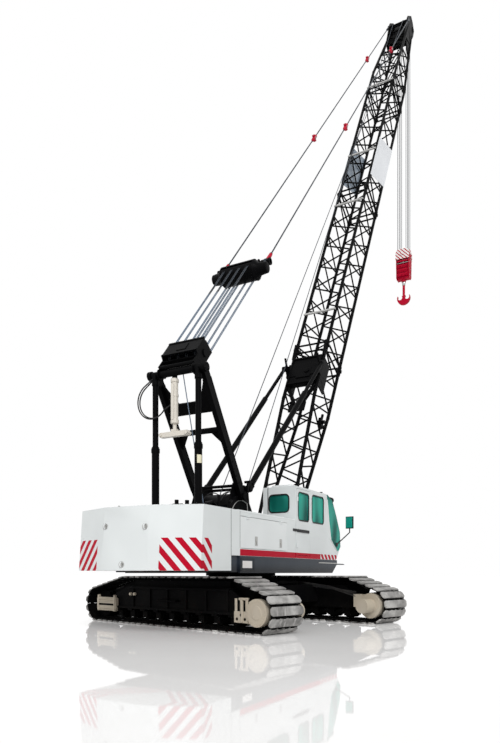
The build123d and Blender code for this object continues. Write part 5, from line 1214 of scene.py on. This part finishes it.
class CRANE_OT_gantry(bpy.types.Operator):
    """Adds collars, pins, brackets, a blank label and a hose loop to the gantry"""
    bl_idname = "crane.gantry"
    bl_label = "Gantry fittings"

    def execute(self, context):
        black, cream, yoke, label, hoses = (Shape() for _ in range(5))
        stay_x, stay_y, leg_y = -2.635, 0.55, 0.6
        for side in SIDES:
            stay = Vector((stay_x, side * stay_y, 0))
            for z, height, radius in ((1.532, 0.06, 0.12), (3.74, 0.09, 0.092),
                                      (3.83, 0.035, 0.078), (5.17, 0.09, 0.078)):
                black.rod(stay + UP * z, stay + UP * (z + height), radius, 24)
            black.bolt_ring(stay + UP * 1.585, UP, 0.098, 8, 0.024, 0.02)
            # pin heads and washers at the legs' feet and the head
            for x, z, inner, outer, radius, sides in (
                    (LEG_FOOT.x, LEG_FOOT.z, 0.652, 0.69, 0.085, 24),
                    (-0.67, 3.13, 0.664, 0.69, 0.062, 16),
                    (HEAD.x, HEAD.z, 0.655, 0.74, 0.098, 28)):
                black.rod((x, side * inner, z), (x, side * outer, z), radius, sides)
            black.bolt_ring((HEAD.x, side * 0.738, HEAD.z), LEFT * side, 0.06, 6, 0.02, 0.012)
        # pulley bracket on the near leg's foot
        black.box((-0.86, -0.7, 3.02), (-0.8, -0.66, 3.28), 0.008)
        black.rod((-0.83, -0.74, 3.27), (-0.83, -0.6, 3.27), 0.03)
        # edge strips and rungs on the legs
        black.place = LEG
        for y in (-leg_y, leg_y):
            for z in (-0.095, 0.095):
                black.box((0.25, y - 0.056, z - 0.008),
                          ((LEG_TOP - LEG_FOOT).length - 0.2, y + 0.056, z + 0.008), 0.003)
        for i in range(6):
            x = 0.35 + 0.17 * i
            black.rod((x, -0.656, 0.02), (x, -0.656, 0.13), 0.01, 8)
        black.ride("gantry_fittings", "upper", "black")

        # lifting cylinder: glands, side plate, and pins and washer of its yoke
        at = Vector((-2.56, 0.1, 0))
        for z, height, radius in ((4.335, 0.07, 0.088), (4.9, 0.05, 0.082), (5.2, 0.06, 0.086)):
            cream.rod(at + UP * z, at + UP * (z + height), radius, 24)
        cream.box((-2.655, 0.065, 4.4), (-2.635, 0.135, 5.16), 0.005)
        cream.ride("lift_cylinder_collars", "upper", "cream")
        for y in (-0.235, 0.435):
            yoke.rod((-2.64, y, 4.11), (-2.48, y, 4.11), 0.034)
        yoke.box((-2.605, 0.03, 4.155), (-2.515, 0.17, 4.215), 0.008)
        yoke.ride("yoke_pins", "lift_yoke", "cream")

        # blank label bent round the near stay
        verts = [label.bm.verts.new((stay_x, -0.632, z)) for z in (3.43, 3.6)]
        edge = label.bm.edges.new(verts)
        bmesh.ops.spin(label.bm, geom=verts + [edge], cent=(stay_x, -stay_y, 0), axis=UP,
                       angle=radians(-75), steps=10, use_merge=False, use_duplicate=False)
        label.ride("stay_label", "upper", "label")

        # stiff hoses from the head tube round to the lifting cylinder
        loop = radians(198)
        for x, radius in ((-2.77, 0.385), (-2.735, 0.36)):
            centre = Vector((x, 0.53, 4.82))
            start = Vector((0, sin(radians(35)), cos(radians(35)))) * radius
            end = centre + Matrix.Rotation(loop, 3, -FORWARD) @ start
            hoses.arc(centre, -FORWARD, start, 0.014, loop, steps=30)
            hoses.rod(centre + start, (x + 0.13, 0.6, 5.335), 0.014, 8)
            hoses.rod(end, (-2.6, 0.12, 4.76), 0.014, 8)
        hoses.ride("head_hoses", "upper", "rubber")
        return {"FINISHED"}


class CRANE_OT_reeving(bpy.types.Operator):
    """Strings the boom hoist between bail and bridle and leads ropes to the drums and boom head"""
    bl_idname = "crane.reeving"
    bl_label = "Reeving"

    def execute(self, context):
        sides = context.scene.crane_sizes.rope_sides
        black_from = BRIDLE_REACH - GREASED_END
        for name, body, square, finish, low, high in (
                ("upper_falls", "pendants", FALL_OFFSET, "rope", BAIL_PIN, black_from),
                ("upper_ends", "pendants", FALL_OFFSET, "greased", black_from, BRIDLE_REACH),
                ("lower_falls", "bail", -FALL_OFFSET, "rope", BAIL_PIN, BRIDLE_REACH)):
            falls = Shape(LINE)
            for y in ROPE_LANES:
                falls.rod((low, y, square), (high, y, square), ROPE_RADIUS, sides)
            falls.ride(f"boom_hoist_{name}", body, finish)
        # rope round the sheaves at both ends
        for name, body, reach, out in (("bail_wraps", "bail", BAIL_PIN, -1),
                                       ("bridle_wraps", "pendants", BRIDLE_REACH, 1)):
            wraps = Shape(LINE)
            for y in ROPE_LANES:
                wraps.arc((reach, y, 0), LEFT * out, (0, 0, FALL_OFFSET), ROPE_RADIUS, pi, sides,
                          16)
            wraps.ride(f"boom_hoist_{name}", body, "greased")

        lead = Shape()
        _, x, _, _, wound = DRUMS[0]
        lead.rod((x + wound, -0.1, 2.34), (HEAD.x + 0.05, -0.1, HEAD.z), ROPE_RADIUS, sides)
        lead.ride("boom_hoist_lead", "upper", "rope")

        # hoist ropes from the two load drums up the back of the boom to its head
        for name, drum, y, side in (("main", DRUMS[1], -0.1, -1), ("front", DRUMS[2], 0.18, 1)):
            _, x, z, _, wound = drum
            middle = Vector((x, y, z))
            end = BOOM @ Vector((26.05, side * OUTER_LANE, 0.5))
            along = (end - middle).normalized()
            square = Vector((-along.z, 0, along.x)).normalized()
            start = middle + square * (wound + ROPE_RADIUS)
            rope = Shape()
            shares = [i * 0.012 for i in range(12)] + [0.16, 0.3, 0.5, 0.75, 1.0]
            rope.sweep([start.lerp(end, share) for share in shares], ROPE_RADIUS, sides)
            rope.stretch(f"hoist_rope_{name}", "greased", "upper", "boom", start,
                         start.lerp(end, 0.14))
        return {"FINISHED"}


class CRANE_OT_boom(bpy.types.Operator):
    """Adds section pins, gussets, guide sheaves, the head's rope wraps and the butt's fittings"""
    bl_idname = "crane.boom"
    bl_label = "Boom fittings"

    def execute(self, context):
        black, bare, ropes = Shape(BOOM), Shape(BOOM), Shape()
        for s in JOINT_STATIONS:
            for y in (-BOOM_HALF_WIDTH, BOOM_HALF_WIDTH):
                for n in (-BOOM_HALF_DEPTH, BOOM_HALF_DEPTH):
                    bare.rod((s, y - 0.1, n), (s, y + 0.1, n), 0.026, 14)
                    black.box((s - 0.055, y - 0.082, n - 0.06), (s + 0.055, y + 0.082, n + 0.06),
                              0.015)
        # galvanised rollers across the rear face, and guide sheaves at the head
        for s in (8.35, 13.72, 16.6, 21.12):
            bare.rod((s, -0.53, 0.645), (s, 0.53, 0.645), 0.034)
            for y in (-0.5, 0.5):
                black.box((s - 0.03, y - 0.02, 0.56), (s + 0.03, y + 0.02, 0.66), 0.005)
        for s, n in ((25.55, 0.43), (26.05, 0.4)):
            for y in (-OUTER_LANE, OUTER_LANE):
                black.lathe(((-0.03, 0), (-0.03, 0.11), (-0.014, 0.108), (-0.012, 0.09),
                             (0.012, 0.09), (0.014, 0.108), (0.03, 0.11), (0.03, 0)), (s, y, n),
                            LEFT, steps=28)
            black.rod((s, -0.4, n), (s, 0.4, n), 0.03)
        along, square = HEAD_PIN
        for side in SIDES:
            # pin caps and bolts on the head plates
            black.lathe(((0, 0), (0, 0.11), (0.02, 0.105), (0.028, 0.07), (0.028, 0)),
                        (along, side * 0.405, square), LEFT * side)
            black.bolt_ring((along, side * 0.423, square), LEFT * side, 0.088, 8, 0.022, 0.012)
            # braces below the box at the top of the butt, gussets at its sides, pegs on its ears
            black.box((5.35, side * 0.5 - 0.02, 0.1), (6.45, side * 0.5 + 0.02, 0.56), 0.008)
            for start, end, radius in (
                    ((5.42, 0.44, 0.53), (4.72, 0.12, 0.5), 0.06),
                    ((5.98, 0.52, 0.8), (6.14, 0.52, 1.0), 0.032),
                    ((6.45, 0.5, 0.62), (7.0, 0.5, 0.66), 0.038)):
                black.rod((start[0], side * start[1], start[2]), (end[0], side * end[1], end[2]),
                          radius)
        for low, high, bevel in (
                # rims and a lid on the box at the top of the butt, and a plate below it
                ((5.4, -0.48, 0.64), (5.46, 0.48, 0.675), 0.008),
                ((6.37, -0.48, 0.64), (6.43, 0.48, 0.675), 0.008),
                ((5.4, -0.48, 0.64), (6.43, -0.42, 0.675), 0.008),
                ((5.4, 0.42, 0.64), (6.43, 0.48, 0.675), 0.008),
                ((5.62, -0.24, 0.63), (5.98, 0.22, 0.668), 0.008),
                ((4.45, -0.26, 0.485), (4.78, 0.26, 0.525), 0.01),
                # holder for slack ropes on the right hand front chord
                ((4.3, -0.62, -0.16), (4.52, -0.53, 0.06), 0.012),
                # cross plates between the head plates
                ((25.95, -0.375, 0.1), (26.3, 0.375, 0.16), 0.008),
                ((26.12, -0.37, 0.19), (26.62, 0.37, 0.215), 0.006),
                ((25.33, -0.345, -0.15), (25.36, 0.345, 0.26), 0.006)):
            black.box(low, high, bevel)
        black.lathe(((0, 0), (0, 0.085), (0.03, 0.08), (0.034, 0)), (5.86, -0.1, 0.668), UP,
                    steps=24)
        for start, end, radius in (((4.15, -0.58, -0.05), (4.7, -0.58, -0.05), 0.04),
                                   ((4.42, -0.7, -0.05), (4.42, -0.54, -0.05), 0.055),
                                   ((4.42, -0.54, -0.05), (4.6, -0.5, -0.5), 0.03)):
            black.rod(start, end, radius)
        # crossing diagonals inside the tapered tip and up to the head plates
        for side in SIDES:
            for i in range(5):
                s, depth, width = 21.5 + 0.7 * i, 0.504 - 0.0364 * i, 0.465 - 0.021 * i
                black.rod((s, side * width, depth),
                          (s + 0.45, -side * width * 0.95, -depth * 0.92), 0.022, 10)
            black.rod((24.9, side * 0.38, 0.31), (25.5, -side * 0.34, 0.28), 0.026)
            black.rod((25.3, side * 0.34, -0.28), (25.9, side * 0.34, 0.28), 0.03)
        # inner load sheaves, and rope round all of them from the back over the top to the falls
        for y in FALL_LANES[1:3]:
            black.sheave((along, y, square))
        for y in FALL_LANES:
            ropes.arc((PIN.x, y, PIN.z), LEFT, (-FALL_OFFSET, 0, 0), ROPE_RADIUS, pi, steps=20)
        black.ride("boom_fittings", "boom", "black")
        bare.ride("section_pins", "boom", "bare")
        ropes.ride("head_rope_wraps", "load_line", "rope")
        return {"FINISHED"}


class CRANE_OT_pendants(bpy.types.Operator):
    """Adds red sockets, connecting links and a housing to the pendants and the bridle"""
    bl_idname = "crane.pendants"
    bl_label = "Pendants and bridle"

    def execute(self, context):
        red, links, housing, bail = Shape(), Shape(), Shape(LINE), Shape(LINE)
        sheaves, bar = Vector((BRIDLE_REACH, 0, 0)), Vector((BRIDLE_REACH + 0.3, 0, 0))
        for side in SIDES:
            low = LINE @ bar + LEFT * side * 0.62
            along = (BOOM @ Vector((26.15, side * 0.45, 0.43)) - low).normalized()
            turn = along.cross(LEFT).normalized()
            red.lathe(((0.095, 0), (0.095, 0.05), (0.15, 0.052), (0.38, 0.042), (0.43, 0.024),
                       (0.43, 0)), low, along)
            for reach in (8.7, 16.7):
                spot = low + along * reach
                red.lathe(((-0.24, 0), (-0.24, 0.024), (-0.16, 0.052), (0.16, 0.052),
                           (0.24, 0.024), (0.24, 0)), spot, along)
                red.rod(spot - turn * 0.095, spot + turn * 0.095, 0.046)
                links.rod(spot - LEFT * 0.07, spot + LEFT * 0.07, 0.03)
        red.ride("pendant_sockets", "pendants", "red")
        links.ride("pendant_links", "pendants", "bare", "rope_steel")

        # plates between the sheaves of bridle and bail
        for y in (-0.22, 0.0, 0.22):
            for shape, pin, back, ahead, half in ((housing, BRIDLE_REACH, 0.16, 0.22, 0.115),
                                                  (bail, BAIL_PIN, 0.27, 0.12, 0.12)):
                shape.box((pin - back, y - 0.008, -half), (pin + ahead, y + 0.008, half), 0.004)
        for side in SIDES:
            # end caps that close the curved guard, with pin heads, and the bar's ends
            housing.lathe(((0, 0), (0, 0.246), (0.016, 0.24), (0.1, 0.15), (0.3, 0.13),
                           (0.318, 0.11), (0.318, 0)), sheaves + LEFT * side * 0.446, LEFT * side,
                          steps=40)
            pin = sheaves + LEFT * side * 0.473
            housing.rod(pin - LEFT * 0.009, pin + LEFT * 0.009, 0.085, 24)
            for inner, outer, radius in ((0.7, 0.74, 0.088), (0.5, 0.58, 0.074)):
                housing.rod(bar + LEFT * side * inner, bar + LEFT * side * outer, radius, 24)
            bail.rod((BAIL_PIN, side * 0.455, 0), (BAIL_PIN, side * 0.477, 0), 0.085, 24)
        # curved sheet on the ropes' side, which they pass through
        start = Matrix.Rotation(radians(-12), 3, LEFT) @ UP
        verts = [housing.bm.verts.new(housing.at(sheaves + start * out + LEFT * y))
                 for out, y in ((0.224, -0.44), (0.234, -0.44), (0.234, 0.44), (0.224, 0.44))]
        edges = [housing.bm.edges.new(pair) for pair in zip(verts, verts[1:] + verts[:1])]
        bmesh.ops.spin(housing.bm, geom=verts + edges, cent=housing.at(sheaves), axis=LEFT,
                       angle=radians(-156), steps=20, use_merge=False, use_duplicate=False)
        housing.ride("bridle_fittings", "pendants", "black")

        # rims and a lid on the bail's cover plate, and a keeper across its end
        for low, high in (((0.33, -0.454, 0.232), (0.38, 0.454, 0.246)),
                          ((0.75, -0.454, 0.232), (0.8, 0.454, 0.246)),
                          ((0.45, -0.12, 0.232), (0.68, 0.12, 0.244))):
            bail.box(low, high, 0.004)
        bail.rod((0.09, -0.44, 0.1), (0.09, 0.44, 0.1), 0.045)
        bail.ride("bail_fittings", "bail", "black")
        return {"FINISHED"}


class CRANE_OT_hook_block(bpy.types.Operator):
    """Adds the falls, rope wraps, guards, cheek ribs, pins and bolts to the hook block"""
    bl_idname = "crane.hook_block"
    bl_label = "Hook block"

    def execute(self, context):
        ropes, falls, red, bare, stripes, nut = (
            Shape(Matrix.Translation((PIN.x, 0, 0))) for _ in range(6))
        for y in FALL_LANES:
            ropes.arc((0, y, BLOCK_Z), LEFT, (FALL_OFFSET, 0, 0), ROPE_RADIUS, pi, steps=20)
            for x in (-FALL_OFFSET, FALL_OFFSET):
                falls.rod((x, y, BLOCK_Z), (x, y, PIN.z), ROPE_RADIUS, 12)
        for y in FALL_LANES[1:3]:
            red.sheave((0, y, BLOCK_Z))
        falls.stretch("hoist_falls", "greased", "load_line", "hook_block", PIN,
                      Vector((PIN.x, 0, BLOCK_Z)), ("load_line_front", "load_line_rear"))
        # striped guards in front of and behind the sheaves, with bosses, and ribs below them
        outline = ((-0.3, 15.02), (0.3, 15.02), (0.3, 15.34), (0.2, 15.46), (-0.2, 15.46),
                   (-0.3, 15.34))
        for out in SIDES:
            stripes.plate(outline, out * 0.246, out * 0.262, axes((0, 0, 0), LEFT, UP))
            stripes.rod((out * 0.262, 0.02, 15.24), (out * 0.292, 0.02, 15.24), 0.06, 24)
            for z in (14.36, 14.55, 14.74, 14.93):
                red.box((out * 0.225, -0.235, z - 0.028), (out * 0.262, 0.235, z + 0.028), 0.008)
        for side in SIDES:
            # cheeks: a round boss with bolts, two rows of larger bolts and two upright ribs
            axis, face = LEFT * side, side * 0.284
            red.lathe(((0, 0), (0, 0.12), (0.018, 0.115), (0.018, 0.07), (0.034, 0.062),
                       (0.034, 0)), (0, face, BLOCK_Z), axis)
            bare.bolt_ring((0, face + side * 0.016, BLOCK_Z), axis, 0.095, 8, 0.024, 0.014)
            bare.bolts([bare.at((x, face, z)) for x in (-0.1, 0.1) for z in (14.36, 14.62)], axis,
                       0.04, 0.022)
            for x in (-0.15, 0.15):
                red.box((x - 0.012, face, 14.24), (x + 0.012, face + side * 0.016, 15.3), 0.004)
            for x, z in ((0.16, 15.33), (0.2, 14.86)):
                bare.rod((side * x, -0.3, z), (side * x, 0.3, z), 0.016, 12)
        ropes.ride("block_rope_wraps", "hook_block", "rope")
        red.ride("block_ribs", "hook_block", "red")
        stripes.ride("block_guards", "hook_block", "red_striped")
        bare.ride("block_bolts", "hook_block", "bare")
        nut.lathe(((-0.16, 0), (-0.16, 0.062), (-0.1, 0.075), (-0.03, 0.075), (0, 0.06), (0, 0)),
                  (0, 0, 14.09), UP)
        nut.ride("hook_collar", "hook", "bare")
        return {"FINISHED"}


OPERATORS = (CRANE_OT_stage, CRANE_OT_finishes, CRANE_OT_tracks, CRANE_OT_base,
             CRANE_OT_counterweight, CRANE_OT_house, CRANE_OT_cab, CRANE_OT_seat,
             CRANE_OT_winches, CRANE_OT_gantry, CRANE_OT_reeving, CRANE_OT_boom,
             CRANE_OT_pendants, CRANE_OT_hook_block)


class CRANE_PT_dressing(bpy.types.Panel):
    """Lists the crane's settings and operators"""
    bl_idname = "CRANE_PT_dressing"
    bl_label = "Crane"
    bl_space_type = "VIEW_3D"
    bl_region_type = "UI"
    bl_category = "Crane"

    def draw(self, context):
        column = self.layout.column()
        for settings in (context.scene.crane_colours, context.scene.crane_sizes):
            for key in settings.__annotations__:
                column.prop(settings, key)
        for operator in OPERATORS:
            column.operator(operator.bl_idname)


CLASSES = (CraneColours, CraneSizes, *OPERATORS, CRANE_PT_dressing)


def register():
    for item in CLASSES:
        bpy.utils.register_class(item)
    bpy.types.Scene.crane_colours = PointerProperty(type=CraneColours)
    bpy.types.Scene.crane_sizes = PointerProperty(type=CraneSizes)


def unregister():
    del bpy.types.Scene.crane_sizes
    del bpy.types.Scene.crane_colours
    for item in reversed(CLASSES):
        bpy.utils.unregister_class(item)


def main():
    register()
    for operator in OPERATORS:
        group_name, call = operator.bl_idname.split(".")
        getattr(getattr(bpy.ops, group_name), call)()


if __name__ == "__main__":
    main()
